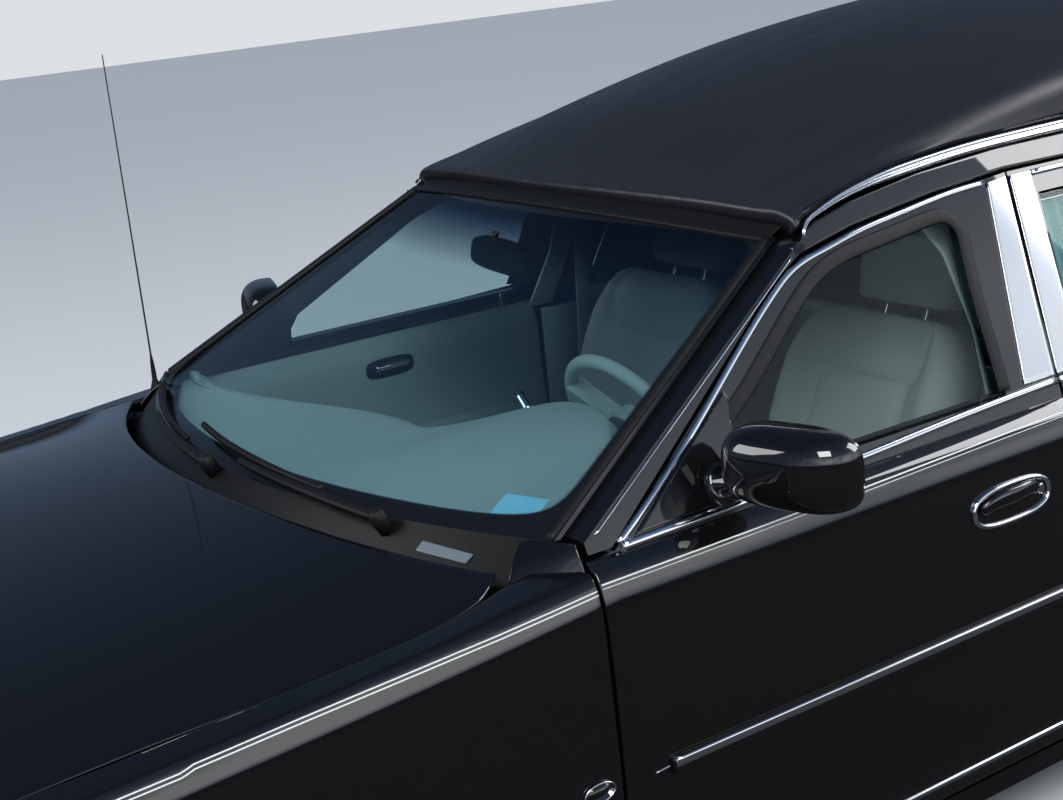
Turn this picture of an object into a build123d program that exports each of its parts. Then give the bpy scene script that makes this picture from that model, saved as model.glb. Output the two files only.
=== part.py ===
from build123d import *
from math import cos, hypot, radians, sin
import os

# Stretched four-door hearse with a raised padded roof.
# Millimetres. +X points forward, +Y to the car's left, +Z up. The ground is at z = 0.

# Main sizes
LENGTH = 6400
WHEELBASE = 3690
NOSE_X = LENGTH / 2
TAIL_X = -LENGTH / 2
FRONT_AXLE_X = 2135
REAR_AXLE_X = FRONT_AXLE_X - WHEELBASE
FRONT_TRACK = 1592
REAR_TRACK = 1580


def nose(behind):
    """x at a distance behind the nose."""
    return NOSE_X - behind


def tail(ahead):
    """x at a distance ahead of the tail."""
    return TAIL_X + ahead


# Clearances
PANEL_GAP = 6
SEAT = 0.3
WALL = 60
GLASS_THICKNESS = 5

# Wheels
TYRE_R = 344
TYRE_WIDTH = 224
RIM_R = 203
ARCH_R = 392
WHEELHOUSE_R = 410
KINGPIN_Y = FRONT_TRACK / 2 - 60
HUB_INSET = 4
HUB_INNER_Y = FRONT_TRACK / 2 - HUB_INSET
REAR_HUB_Y = REAR_TRACK / 2 - HUB_INSET

# Body side, seen from the front
SILL_Z = 160
DOOR_BOTTOM_Z = 214
BELT_Y = 886
BELT_Z = 942
DOOR_TOP_Y = 686
DOOR_TOP_Z = 1362
LEAN = (BELT_Y - DOOR_TOP_Y) / (DOOR_TOP_Z - BELT_Z)
DOOR_SKIN = 36
DOOR_INNER_Y = 893
POST_OUTER_Y = 885
POST_INNER_Y = 800
PLUG_INNER_Y = 843
PLUG_MARGIN = 58
QUARTER_INNER_Y = 875

# Doors, seen from the side
DOOR_FRONT_X = 1508
DOOR_SPLIT_X = 345
DOOR_REAR_X = -640
SPLIT_RAKE = 76
REAR_RAKE = 25
EDGE_DRAFT = 0.34

# Windscreen edges: corner x, corner y, corner z, centre x, centre z
SCREEN_BASE = (1526, 822, 966, 1765, 985)
SCREEN_HEAD = (866, 646, 1334, 950, 1366)

# Raised roof
GUTTER_TOP = 1437
GUTTER = (
    (836, 1352), (820, 1372), (666, 1408), (378, 1431), (40, GUTTER_TOP), (tail(190), GUTTER_TOP)
)
GUTTER_DEPTH = 24
RAIL_OUTER_Y = 645
RAIL_INNER_Y = 600
ROOF_THICKNESS = 38

# Tail
TAIL_FACE_X = TAIL_X + 50
TAIL_TOP_X = TAIL_FACE_X + 175
TAIL_TOP_Z = 1600
DECK_Z = 620
LOAD_SILL_Z = 560


def skin_y(z):
    """Half width of the leaning upper side at a height above the belt."""
    return BELT_Y - LEAN * (z - BELT_Z)


def tail_x(z):
    """Leaning rear face above the belt."""
    return TAIL_FACE_X + (z - BELT_Z) * (TAIL_TOP_X - TAIL_FACE_X) / (TAIL_TOP_Z - BELT_Z)


def side_prism(points, y_low, y_high):
    """Outline in x and z carried across the car."""
    with BuildPart() as made:
        with BuildSketch(Plane.XZ.offset(-y_high)):
            with BuildLine():
                Polyline(*points, close=True)
            make_face()
        extrude(amount=y_high - y_low)
    return made.part


def long_prism(points, x_low, x_high):
    """Outline in y and z carried along the car."""
    with BuildPart() as made:
        with BuildSketch(Plane.YZ.offset(x_low)):
            with BuildLine():
                Polyline(*points, close=True)
            make_face()
        extrude(amount=x_high - x_low)
    return made.part


def block(x, y, z):
    """Box from three pairs of limits."""
    with BuildPart() as made:
        with Locations(((x[0] + x[1]) / 2, (y[0] + y[1]) / 2, (z[0] + z[1]) / 2)):
            Box(x[1] - x[0], y[1] - y[0], z[1] - z[0])
    return made.part


def disc_prism(x, z, radius, y_low, y_high):
    """Round bar across the car."""
    with BuildPart() as made:
        with BuildSketch(Plane.XZ.offset(-y_high)):
            with Locations((x, z)):
                Circle(radius)
        extrude(amount=y_high - y_low)
    return made.part


def drafted_prism(corners):
    """Prism across the car whose walls close in by their own slopes towards the cabin.

    Each corner gives x, y and z on the skin and how far x moves for each mm inwards.
    """
    outer_y, inner_y = 1000, 560
    outer = [(x - slope * (outer_y - y), z) for x, y, z, slope in corners]
    inner = [(x + slope * (y - inner_y), z) for x, y, z, slope in corners]
    with BuildPart() as made:
        for level, outline in ((outer_y, outer), (inner_y, inner)):
            with BuildSketch(Plane.XZ.offset(-level)):
                with BuildLine():
                    Polyline(*outline, close=True)
                make_face()
        loft(ruled=True)
    return made.part


def bowed_band(first, second, depth):
    """Curved sheet between two bowed edges that lie across the car."""
    with BuildPart() as made:
        for corner_x, corner_y, corner_z, centre_x, centre_z in (first, second):
            run, rise = centre_x - corner_x, centre_z - corner_z
            bow = hypot(run, rise)
            plane = Plane(origin=(corner_x, 0, corner_z), x_dir=(0, 1, 0), z_dir=(rise, 0, -run))
            with BuildSketch(plane):
                with BuildLine():
                    ThreePointArc((-corner_y, 0), (0, bow), (corner_y, 0))
                    Line((corner_y, 0), (corner_y, -depth))
                    ThreePointArc((corner_y, -depth), (0, bow - depth), (-corner_y, -depth))
                    Line((-corner_y, -depth), (-corner_y, 0))
                make_face()
        loft(ruled=True)
    return made.part


def bar(start, end, width, height):
    """Straight bar of rectangular section between two points."""
    run = Vector(*end) - Vector(*start)
    with BuildPart() as made:
        with BuildSketch(Plane(origin=start, z_dir=run)):
            Rectangle(width, height)
        extrude(amount=run.length)
    return made.part


def common(*pieces):
    """What all the pieces share."""
    with BuildPart() as made:
        add(pieces[0])
        for piece in pieces[1:]:
            add(piece, mode=Mode.INTERSECT)
    return made.part


def without(piece, *tools):
    """The piece less each of the tools."""
    with BuildPart() as made:
        add(piece)
        for tool in tools:
            add(tool, mode=Mode.SUBTRACT)
    return made.part


def together(*pieces):
    """All the pieces in one part."""
    with BuildPart() as made:
        for piece in pieces:
            add(piece)
    return made.part


def both_sides(piece):
    """The piece and its mirror image, as two solids."""
    with BuildPart() as made:
        add(piece)
        mirror(about=Plane.XZ)
    return made.part


def right_hand(piece):
    """Mirror image of a left-hand piece."""
    with BuildPart() as made:
        mirror(piece, about=Plane.XZ)
    return made.part


# Side wall section
def wall_section(inner_points):
    """Body side from its lower edge to the gutter, closed by an inner line going down."""
    with BuildLine() as line:
        Line((905, DOOR_BOTTOM_Z), (928, 290))
        ThreePointArc((928, 290), (943, 600), (934, 828))
        ThreePointArc((934, 828), (925, 885), (906, 926))
        Line((906, 926), (BELT_Y, BELT_Z))
        Line((BELT_Y, BELT_Z), (DOOR_TOP_Y, DOOR_TOP_Z))
        Polyline((DOOR_TOP_Y, DOOR_TOP_Z), *inner_points, (905, DOOR_BOTTOM_Z))
    return line.line


def side_wall(inner_points, x_low, x_high):
    with BuildPart() as made:
        with BuildSketch(Plane.YZ.offset(x_low)):
            add(wall_section(inner_points))
            make_face()
        extrude(amount=x_high - x_low)
    return made.part


door_inner = (
    (DOOR_TOP_Y - DOOR_SKIN, DOOR_TOP_Z),
    (BELT_Y - DOOR_SKIN, BELT_Z),
    (BELT_Y - DOOR_SKIN, 912),
    (DOOR_INNER_Y, 900),
    (DOOR_INNER_Y, DOOR_BOTTOM_Z),
)

# Upper door outlines on the skin: x, z and inward slope
front_door_frame = (
    (DOOR_FRONT_X, BELT_Z - 12, 0),
    (DOOR_FRONT_X, BELT_Z - 2, 0),
    (1450, BELT_Z + 2, 0),
    (944, 1262, 0),
    (863, 1298, 0),
    (714, 1325, 0),
    (500, 1348, 0),
    (DOOR_SPLIT_X - SPLIT_RAKE, DOOR_TOP_Z, EDGE_DRAFT),
    (DOOR_SPLIT_X, BELT_Z, EDGE_DRAFT),
)
rear_door_frame = (
    (DOOR_SPLIT_X - PANEL_GAP, BELT_Z - 12, 0),
    (DOOR_SPLIT_X - PANEL_GAP - SPLIT_RAKE, DOOR_TOP_Z, 0),
    (DOOR_REAR_X - REAR_RAKE, DOOR_TOP_Z, EDGE_DRAFT),
    (DOOR_REAR_X, BELT_Z, EDGE_DRAFT),
)
front_window = (
    (1240, 975), (1240, 1003), (1102, 1091), (860, 1245), (790, 1272),
    (666, 1288), (481, 1306), (436, 1300), (488, 975),
)
rear_window = ((255, 975), (196, 1312), (-606, 1312), (-592, 975))


def skin_point(x, z, slope):
    return (x, skin_y(z), z, slope)


def inset(points, amount):
    """Outline whose sides are all moved inwards by an amount."""
    count = len(points)
    turn = sum(
        p[0] * q[1] - q[0] * p[1] for p, q in zip(points, (*points[1:], points[0]))
    )
    side = amount if turn > 0 else -amount
    lines = []
    for p, q in zip(points, (*points[1:], points[0])):
        dx, dy = q[0] - p[0], q[1] - p[1]
        size = hypot(dx, dy)
        lines.append((-dy / size, dx / size, (-dy * p[0] + dx * p[1]) / size + side))
    corners = []
    for i in range(count):
        (a, b, c), (d, e, f) = lines[i - 1], lines[i]
        det = a * e - b * d
        corners.append(((c * e - b * f) / det, (a * f - c * d) / det))
    return corners


def door_panel(frame, window, x_front, x_rear):
    """Outer door shell with its inner plug, its window cut through."""
    wall = side_wall(door_inner, x_rear - 200, x_front + 10)
    prism = together(
        drafted_prism([skin_point(*corner) for corner in frame]),
        block((x_rear, x_front), (800, 1000), (200, BELT_Z - 2)),
    )
    plug = block(
        (x_rear + PLUG_MARGIN, x_front - PLUG_MARGIN - 10), (PLUG_INNER_Y, DOOR_INNER_Y + 2), (264, 905)
    )
    with BuildPart() as made:
        add(wall)
        add(prism, mode=Mode.INTERSECT)
        add(plug)
        add(side_prism(window, 500, 1000), mode=Mode.SUBTRACT)
    return made.part


def door_glass(window):
    """Pane that fills the window, set in from the skin."""
    depth = 13
    low_z, high_z = 960, 1330
    outline = [
        (skin_y(low_z) - depth, low_z),
        (skin_y(high_z) - depth, high_z),
        (skin_y(high_z) - depth - GLASS_THICKNESS, high_z),
        (skin_y(low_z) - depth - GLASS_THICKNESS, low_z),
    ]
    with BuildPart() as made:
        add(long_prism(outline, -800, 1400))
        add(side_prism(inset(window, SEAT), 500, 1000), mode=Mode.INTERSECT)
    return made.part


front_door = door_panel(front_door_frame, front_window, DOOR_FRONT_X, DOOR_SPLIT_X)
rear_door = door_panel(rear_door_frame, rear_window, DOOR_SPLIT_X - PANEL_GAP, DOOR_REAR_X)


# Door mirror: foot and housing
mirror_clear = long_prism(
    ((skin_y(1150) + SEAT, 1150), (skin_y(900) + SEAT, 900), (700, 900), (700, 1150)), 1000, 1400
)
with BuildPart() as mirror_shell:
    with BuildSketch(Plane(origin=(1132, 1026, 1035), x_dir=(-0.3, 1, 0), z_dir=(1, 0.3, 0.05))):
        RectangleRounded(190, 132, 34)
    extrude(amount=72, taper=14)
mirror_left = without(
    together(mirror_shell.part, bar((1205, 868, 1000), (1160, 990, 1025), 44, 56)), mirror_clear
)

# Side frame: sill, hinge post, screen post, centre post and roof rail
sill = long_prism(
    ((POST_INNER_Y, SILL_Z), (900, SILL_Z), (905, DOOR_BOTTOM_Z - PANEL_GAP),
     (POST_OUTER_Y, DOOR_BOTTOM_Z - PANEL_GAP), (POST_OUTER_Y, 256), (POST_INNER_Y, 256)),
    DOOR_REAR_X - PANEL_GAP + SEAT, 1502,
)
hinge_post = block((1448, 1502), (POST_INNER_Y, POST_OUTER_Y), (240, 900))


def hinge_pads(x):
    """Upper and lower door hinges on a post, up to the closed door."""
    return together(
        *[block((x - 22, x), (POST_OUTER_Y - 2, DOOR_INNER_Y - SEAT), (z, z + 70))
          for z in (330, 700)]
    )


frame_y = BELT_Y - DOOR_SKIN - PANEL_GAP
screen_post = common(
    long_prism(
        ((frame_y, 880), (frame_y, 950), (skin_y(950), 950), (skin_y(1345), 1345),
         (skin_y(1345) - 70, 1345), (BELT_Y - 86, BELT_Z), (BELT_Y - 86, 880)), 780, 1502,
    ),
    side_prism(
        ((1502, 880), (1502, 969), (851, 1327), (841, 1320),
         (841, 1314), (863, 1305), (947, 1268), (1454, 950), (1454, 880)), 560, 960,
    ),
)
upper_post = common(
    long_prism(
        ((frame_y, 880), (frame_y, BELT_Z), (skin_y(1380) - 42, 1380),
         (skin_y(1380) - 92, 1380), (frame_y - 50, BELT_Z), (frame_y - 50, 880)), 200, 420,
    ),
    side_prism(((292, 880), (392, 880), (392, BELT_Z), (316, 1380), (216, 1380), (292, BELT_Z)),
               500, 960),
)
centre_post = block((292, 392), (POST_INNER_Y, POST_OUTER_Y), (240, 900))
roof_rail = side_prism(
    [(840, 1322), *[(x, z) for x, z in GUTTER[1:-1]], (tail(250), GUTTER_TOP), (tail(250), 1412 + SEAT),
     (DOOR_REAR_X + 4, 1412 + SEAT), (DOOR_REAR_X + 4, 1330), (240, 1326)],
    RAIL_INNER_Y, RAIL_OUTER_Y,
)
side_frames = both_sides(
    together(
        sill, hinge_post, screen_post, centre_post, upper_post, roof_rail,
        hinge_pads(1502), hinge_pads(DOOR_SPLIT_X - PANEL_GAP - 2),
    )
)

# Gutter mouldings above the doors
gutter_strip = [*GUTTER, *[(x, z - GUTTER_DEPTH) for x, z in reversed(GUTTER)]]
gutter_side = side_prism(gutter_strip, RAIL_OUTER_Y + SEAT, 683)
roof_mouldings = both_sides(gutter_side)


# Raised roof: x, flank top z, shoulder z, centre z
ROOF_STATIONS = (
    (960, 1318, 1342, 1372), (836, 1340, 1358, 1425), (700, 1385, 1408, 1490),
    (440, 1445, 1482, 1573), (100, 1495, 1542, 1641), (-400, 1530, 1586, 1693),
    (-1200, 1545, 1610, 1722), (-2200, 1545, 1610, 1720), (tail(140), 1518, 1575, 1680),
)


def roof_shell(inset_by):
    """Roof shape, or its inside at a distance below the surface."""
    with BuildPart() as made:
        for x, flank_z, shoulder_z, centre_z in ROOF_STATIONS:
            flank, shoulder = 646 - inset_by, 572 - inset_by * 0.8
            low, mid, top = flank_z - inset_by, shoulder_z - inset_by, centre_z - inset_by
            with BuildSketch(Plane.YZ.offset(x)):
                with BuildLine():
                    Line((flank + 12, 1240), (flank, low))
                    Line((flank, low), (shoulder, mid))
                    ThreePointArc((shoulder, mid), (0, top), (-shoulder, mid))
                    Line((-shoulder, mid), (-flank, low))
                    Line((-flank, low), (-flank - 12, 1240))
                    Line((-flank - 12, 1240), (flank + 12, 1240))
                make_face()
        loft(ruled=True)
    return made.part


with BuildPart() as roof_plan:
    with BuildSketch(Plane.XY.offset(1200)):
        with BuildLine():
            ThreePointArc((832, -700), (914, 0), (832, 700))
            Polyline((832, 700), (tail(140), 700), (tail(140), -700), (832, -700))
        make_face()
    extrude(amount=600)
above_gutter = side_prism(
    [*[(x, z + SEAT) for x, z in GUTTER[:-1]], (tail_x(GUTTER_TOP), GUTTER_TOP + SEAT),
     (tail_x(1800), 1800), (1000, 1800), (1000, 1300), (836, 1338)], -800, 800,
)
roof = common(without(roof_shell(0), roof_shell(ROOF_THICKNESS)), roof_plan.part, above_gutter)

# Windscreen
windshield = bowed_band(SCREEN_BASE, SCREEN_HEAD, 13)

# Upper quarters behind the rear doors
upper_inner = ((skin_y(1412) - WALL, 1412), (BELT_Y - WALL, BELT_Z + SEAT))
upper_quarter = common(
    long_prism(
        ((BELT_Y, BELT_Z + SEAT), (skin_y(1412), 1412), *upper_inner), tail(100), -600
    ),
    side_prism(
        ((DOOR_REAR_X - PANEL_GAP, BELT_Z), (DOOR_REAR_X - PANEL_GAP - REAR_RAKE - 3, 1412),
         (tail_x(1412) + WALL + SEAT, 1412), (tail_x(BELT_Z) + WALL + SEAT, BELT_Z)), 500, 960,
    ),
)
upper_quarters = both_sides(upper_quarter)

# Landau bars: an S-shaped bar with a round boss on each padded upper quarter
BAR_CENTRE = ((DOOR_REAR_X + tail(300)) / 2, 1180)
BAR_THICKNESS = 12
lean_out = Vector(0, DOOR_TOP_Z - BELT_Z, BELT_Y - DOOR_TOP_Y).normalized()
bar_plane = Plane(
    origin=Vector(BAR_CENTRE[0], skin_y(BAR_CENTRE[1]), BAR_CENTRE[1]) + lean_out * SEAT,
    x_dir=(1, 0, 0), z_dir=lean_out,
)
with BuildPart() as landau_bar:
    with BuildSketch(bar_plane):
        with BuildLine():
            ThreePointArc((-560, -60), (-470, -130), (-330, -70))
            Line((-330, -70), (330, 70))
            ThreePointArc((330, 70), (470, 130), (560, 60))
        trace(line_width=22)
        Circle(46)
        with Locations((-560, -60), (560, 60)):
            Circle(20)
    extrude(amount=BAR_THICKNESS)
landau_bars = both_sides(landau_bar.part)


# Plan of the tail and nose corners
def plan_prism(points_and_arcs, z_low, z_high):
    with BuildPart() as made:
        with BuildSketch(Plane.XY.offset(z_low)):
            with BuildLine():
                for kind, points in points_and_arcs:
                    kind(*points)
                mirror(about=Plane.XZ)
            make_face()
        extrude(amount=z_high - z_low)
    return made.part


def tail_plan(inset_by, z_low, z_high):
    face = TAIL_FACE_X + inset_by
    side = 945 - inset_by
    return plan_prism((
        (Line, ((-500, 0), (-500, side))),
        (Line, ((-500, side), (tail(900), side))),
        (ThreePointArc, ((tail(900), side), (tail(450), side - 14), (tail(200) + inset_by / 2, side - 62))),
        (ThreePointArc, ((tail(200) + inset_by / 2, side - 62), (tail(105) + inset_by * 0.8, side - 110),
                         (face, side - 215))),
        (Line, ((face, side - 215), (face, 0))),
    ), z_low, z_high)


def nose_plan(inset_by, z_low, z_high):
    side = 946 - max(inset_by, -3)
    return plan_prism((
        (Line, ((1400, 0), (1400, side))),
        (Line, ((1400, side), (nose(800), side))),
        (ThreePointArc, ((nose(800), side), (nose(420), side - 22), (nose(220) - inset_by / 2, side - 85))),
        (ThreePointArc, ((nose(220) - inset_by / 2, side - 85), (nose(130) - inset_by * 0.8, side - 170),
                         (nose(95) - inset_by, side - 290))),
        (ThreePointArc, ((nose(95) - inset_by, side - 290), (nose(35) - inset_by, 350),
                         (NOSE_X - 20 - inset_by, 0))),
    ), z_low, z_high)


# Lower quarters, with the rear wheel arches
lower_inner = (
    (DOOR_TOP_Y - WALL, DOOR_TOP_Z), (BELT_Y - WALL, BELT_Z), (BELT_Y - WALL, 905),
    (QUARTER_INNER_Y, 890), (QUARTER_INNER_Y, DOOR_BOTTOM_Z),
)
below_belt = side_prism(
    ((DOOR_REAR_X - PANEL_GAP, 200), (DOOR_REAR_X - PANEL_GAP, BELT_Z), (tail(200), BELT_Z),
     (tail(200), 300), (tail(900), 214), (tail(1200), 200)), 600, 1000,
)
rear_arch = disc_prism(REAR_AXLE_X, TYRE_R, ARCH_R, 600, 1000)
quarter_panels = both_sides(
    common(
        without(side_wall(lower_inner, tail(150), -600), rear_arch), below_belt,
        tail_plan(0, 0, 1500),
    )
)

# Tail frame around the load door, with its corner posts
tail_slab = side_prism(
    ((tail_x(BELT_Z - 2), BELT_Z - 2), (tail_x(1720), 1720), (tail_x(1720) + WALL, 1720),
     (tail_x(BELT_Z - 2) + WALL, BELT_Z - 2)), -900, 900,
)
inside_roof = common(
    roof_shell(ROOF_THICKNESS + SEAT), block((tail(-100), tail(500)), (-590, 590), (1400, 1800))
)
tail_upper = common(
    tail_slab,
    together(
        long_prism(
            ((BELT_Y, BELT_Z - 2), (BELT_Y, BELT_Z), (skin_y(1412), 1412), (-skin_y(1412), 1412),
             (-BELT_Y, BELT_Z), (-BELT_Y, BELT_Z - 2)), tail(-100), tail(400),
        ),
        inside_roof,
    ),
)
tail_lower = common(
    without(tail_plan(0, LOAD_SILL_Z, BELT_Z), tail_plan(WALL, 0, 2000)),
    block((tail(-100), tail(200) - SEAT), (-960, 960), (0, 2000)),
)


def load_opening(grow):
    """Tapered opening of the load door, seen from behind."""
    far_x, near_x = tail(0), tail(350)
    half = ((592, TAIL_FACE_X, 600), (592, TAIL_FACE_X, 950), (505, tail(195), 1500),
            (430, TAIL_TOP_X, 1545))
    with BuildPart() as made:
        for level in (far_x, near_x):
            right = []
            for y, x, z in half:
                slope = 0.26
                rise = grow if z < BELT_Z else -grow
                right.append((y - grow - slope * (level - x), z + (rise if z != 950 else 0)))
            with BuildSketch(Plane.YZ.offset(level)):
                with BuildLine():
                    Polyline(*right, *[(-y, z) for y, z in reversed(right)], close=True)
                make_face()
        loft(ruled=True)
    return made.part


tail_lamp_slot = block((tail(-100), tail(120)), (742, 960), (600, 925))
load_hinges = together(*[block((tail(52), tail(82)), (586 + SEAT, 600), (z, z + 60)) for z in (650, 850)])
tail_frame = together(
    without(
        together(tail_upper, tail_lower), load_opening(0), tail_lamp_slot,
        right_hand(tail_lamp_slot),
    ),
    load_hinges,
)
load_window = ((-470, 1000), (-420, 1400), (420, 1400), (470, 1000))
load_slab = common(
    together(
        common(tail_slab, block((tail(-100), tail(400)), (-900, 900), (BELT_Z - 2, 1580))),
        block((TAIL_FACE_X, TAIL_FACE_X + WALL), (-700, 700), (590, BELT_Z)),
    ),
    load_opening(PANEL_GAP),
)
PLATE_PAD = (TAIL_FACE_X - 8, 775, 320, 170)
plate_pad = block(
    (PLATE_PAD[0], TAIL_FACE_X + 2), (-PLATE_PAD[2] / 2, PLATE_PAD[2] / 2),
    (PLATE_PAD[1] - PLATE_PAD[3] / 2, PLATE_PAD[1] + PLATE_PAD[3] / 2),
)
load_door = together(without(load_slab, long_prism(load_window, tail(-100), tail(400))), plate_pad)


def lean_sheet(depth, thickness, z_low, z_high):
    """Sheet parallel to the leaning tail face, set in by a depth."""
    return side_prism(
        ((tail_x(z_low) + depth, z_low), (tail_x(z_high) + depth, z_high),
         (tail_x(z_high) + depth + thickness, z_high),
         (tail_x(z_low) + depth + thickness, z_low)), -800, 800,
    )


load_door_glass = common(
    lean_sheet(14, GLASS_THICKNESS, 950, 1450), long_prism(inset(load_window, SEAT), tail(-100), tail(400))
)
load_door_curtain = common(
    lean_sheet(WALL + SEAT, 10, 960, 1440),
    long_prism(inset(load_window, -14), tail(-100), tail(400)),
)

# Tail lamps
tail_lamp = common(
    without(tail_plan(0, 600 + SEAT, 925 - SEAT), tail_plan(52, 0, 2000)),
    block((tail(-100), tail(120) - SEAT), (742 + SEAT, 960), (500, 1000)),
)
tail_lamps = both_sides(tail_lamp)

# Rear bumper
rear_bumper = common(
    without(
        plan_prism((
            (Line, ((tail(1200), 0), (tail(1200), 925))),
            (Line, ((tail(1200), 925), (tail(180), 925))),
            (ThreePointArc, ((tail(180), 925), (tail(60), 880), (tail(22), 770))),
            (ThreePointArc, ((tail(22), 770), (tail(6), 400), (TAIL_X, 0))),
        ), 330, LOAD_SILL_Z - SEAT),
        plan_prism((
            (Line, ((tail(1300), 0), (tail(1300), 850))),
            (Line, ((tail(1300), 850), (tail(210), 850))),
            (ThreePointArc, ((tail(210), 850), (tail(140), 810), (tail(100), 720))),
            (Line, ((tail(100), 720), (tail(100), 0))),
        ), 300, 700),
    ),
    block((tail(-100), tail(200) - SEAT), (-960, 960), (300, 600)),
)

# Hood: x, half width, edge z, centre z
HOOD_STATIONS = (
    (1600, 838, 934, 992), (1780, 862, 901, 984), (FRONT_AXLE_X, 862, 881, 958), (nose(500), 840, 842, 905),
    (nose(40), 770, 800, 838),
)
HOOD_THICKNESS = 24


def hood_outline(grow, z_low, z_high):
    """Plan of the hood, grown all round for the opening that it closes."""
    with BuildPart() as made:
        with BuildSketch(Plane.XY.offset(z_low)):
            with BuildLine():
                ThreePointArc((1628, -798), (1835, 0), (1628, 798))
                ThreePointArc((1628, 798), (1676, 834), (1757, 850))
                Line((1757, 850), (2320, 846))
                ThreePointArc((2320, 846), (nose(450), 820), (nose(140), 742))
                ThreePointArc((nose(140), 742), (nose(60), 380), (nose(34), 0))
                ThreePointArc((nose(34), 0), (nose(60), -380), (nose(140), -742))
                ThreePointArc((nose(140), -742), (nose(450), -820), (2320, -846))
                Line((2320, -846), (1757, -850))
                ThreePointArc((1757, -850), (1676, -834), (1628, -798))
            make_face()
            if grow:
                offset(amount=grow, mode=Mode.REPLACE)
        extrude(amount=z_high - z_low)
    return made.part


with BuildPart() as hood_shell:
    for x, half, edge_z, centre_z in HOOD_STATIONS:
        with BuildSketch(Plane.YZ.offset(x)):
            with BuildLine():
                ThreePointArc((half, edge_z), (0, centre_z), (-half, edge_z))
                Line((-half, edge_z), (-half, edge_z - HOOD_THICKNESS))
                ThreePointArc((-half, edge_z - HOOD_THICKNESS), (0, centre_z - HOOD_THICKNESS),
                              (half, edge_z - HOOD_THICKNESS))
                Line((half, edge_z - HOOD_THICKNESS), (half, edge_z))
            make_face()
    loft(ruled=True)
hood = common(hood_shell.part, hood_outline(0, 700, 1100))

# Front wings: x, side y, shoulder z, top z, inner y
FENDER_STATIONS = (
    (1514, 934, 926, 938, 880), (1757, 935, 905, 912, 880), (FRONT_AXLE_X, 936, 878, 892, 880),
    (nose(500), 926, 838, 852, 880), (nose(200), 888, 802, 818, 828), (nose(90), 860, 786, 802, 790),
)
FENDER_TOP_Y = 760
with BuildPart() as fender_shell:
    for x, side_y, shoulder_z, top_z, inner_y in FENDER_STATIONS:
        fall = shoulder_z - 926
        with BuildSketch(Plane.YZ.offset(x)):
            with BuildLine():
                Line((side_y - 29, 214), (side_y - 6, 290))
                ThreePointArc((side_y - 6, 290), (side_y + 9, 580), (side_y, 828 + fall))
                ThreePointArc((side_y, 828 + fall), (side_y - 8, 886 + fall),
                              (side_y - 28, shoulder_z))
                Line((side_y - 28, shoulder_z), (FENDER_TOP_Y, top_z))
                Line((FENDER_TOP_Y, top_z), (FENDER_TOP_Y, top_z - 40))
                Line((FENDER_TOP_Y, top_z - 40), (inner_y, shoulder_z - 60))
                Line((inner_y, shoulder_z - 60), (inner_y, 214))
                Line((inner_y, 214), (side_y - 29, 214))
            make_face()
    loft(ruled=True)
front_arch = disc_prism(FRONT_AXLE_X, TYRE_R, ARCH_R, 600, 1000)
LAMP_X = nose(240)
LAMP_Z = (600 + SEAT, 762)
bumper_zone = block((FRONT_AXLE_X + 300, nose(-100)), (600, 1000), (0, 600 + SEAT))
lamp_zone = block((LAMP_X, nose(-100)), (600, 1000), (500, LAMP_Z[1] + PANEL_GAP))
cowl_zone = together(
    block((1500, 1612), (700, 826), (700, 1100)), block((1600, 1700), (700, 806), (700, 1100))
)
fender = common(
    without(fender_shell.part, front_arch, bumper_zone, lamp_zone, cowl_zone,
            hood_outline(PANEL_GAP, 700, 1100)),
    nose_plan(0, 0, 1200),
)
fenders = both_sides(fender)

# Front bumper cover, with its lower air intake
front_bumper = without(
    common(
        without(nose_plan(-20, 222, 600), nose_plan(60, 0, 900)),
        block((FRONT_AXLE_X + 300 + SEAT, nose(-100)), (-1000, 1000), (200, 600)),
    ),
    disc_prism(FRONT_AXLE_X, TYRE_R, ARCH_R, -1000, 1000),
    block((nose(200), nose(-100)), (-420, 420), (300, 400)),
)

# Headlamps
GRILLE_HALF = 338
headlamp = common(
    without(nose_plan(6, LAMP_Z[0], LAMP_Z[1]), nose_plan(120, 0, 900)),
    block((LAMP_X + SEAT, nose(-100)), (GRILLE_HALF + SEAT, 1000), (500, 800)),
)
headlamps = both_sides(headlamp)

# Grille: frame with upright and level bars
with BuildPart() as grille:
    with BuildSketch(Plane.YZ.offset(nose(78))):
        with Locations((0, 694 + SEAT)):
            RectangleRounded(2 * GRILLE_HALF, 188, 20)
            RectangleRounded(2 * GRILLE_HALF - 36, 152, 12, mode=Mode.SUBTRACT)
        with Locations((0, 694 + SEAT)):
            with GridLocations(40, 1, 15, 1):
                Rectangle(5, 160)
            with GridLocations(1, 28, 1, 4):
                Rectangle(2 * GRILLE_HALF - 30, 5)
    extrude(amount=46)

# Radiator support behind the grille
radiator_support = block((nose(300), nose(260)), (-640, 640), (300, 770))

# Cowl below the windscreen, with the firewall
cowl_top = bowed_band(
    (1526, 822, 966 - SEAT, 1765, 985 - SEAT), (1606, 800, 900, 1815, 940), 16
)
FIREWALL_X = 1520
firewall = block((FIREWALL_X, FIREWALL_X + 26), (-799, 799), (205, 884))
cowl_lip = bowed_band((1606, 800, 900, 1815, 940), (1604, 800, 880, 1813, 880), 16)
with BuildPart() as plenum:
    with BuildSketch(Plane.XY.offset(880)):
        with BuildLine():
            ThreePointArc((1600, -799), (1806, 0), (1600, 799))
            Polyline((1600, 799), (1520, 799), (1520, -799), (1600, -799))
        make_face()
    extrude(amount=12)
hood_hinge = block((1560, 1680), (745, 790), (880, 903.6))
cowl_panel = together(
    cowl_top, cowl_lip, plenum.part, firewall, hood_hinge, right_hand(hood_hinge)
)

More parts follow.
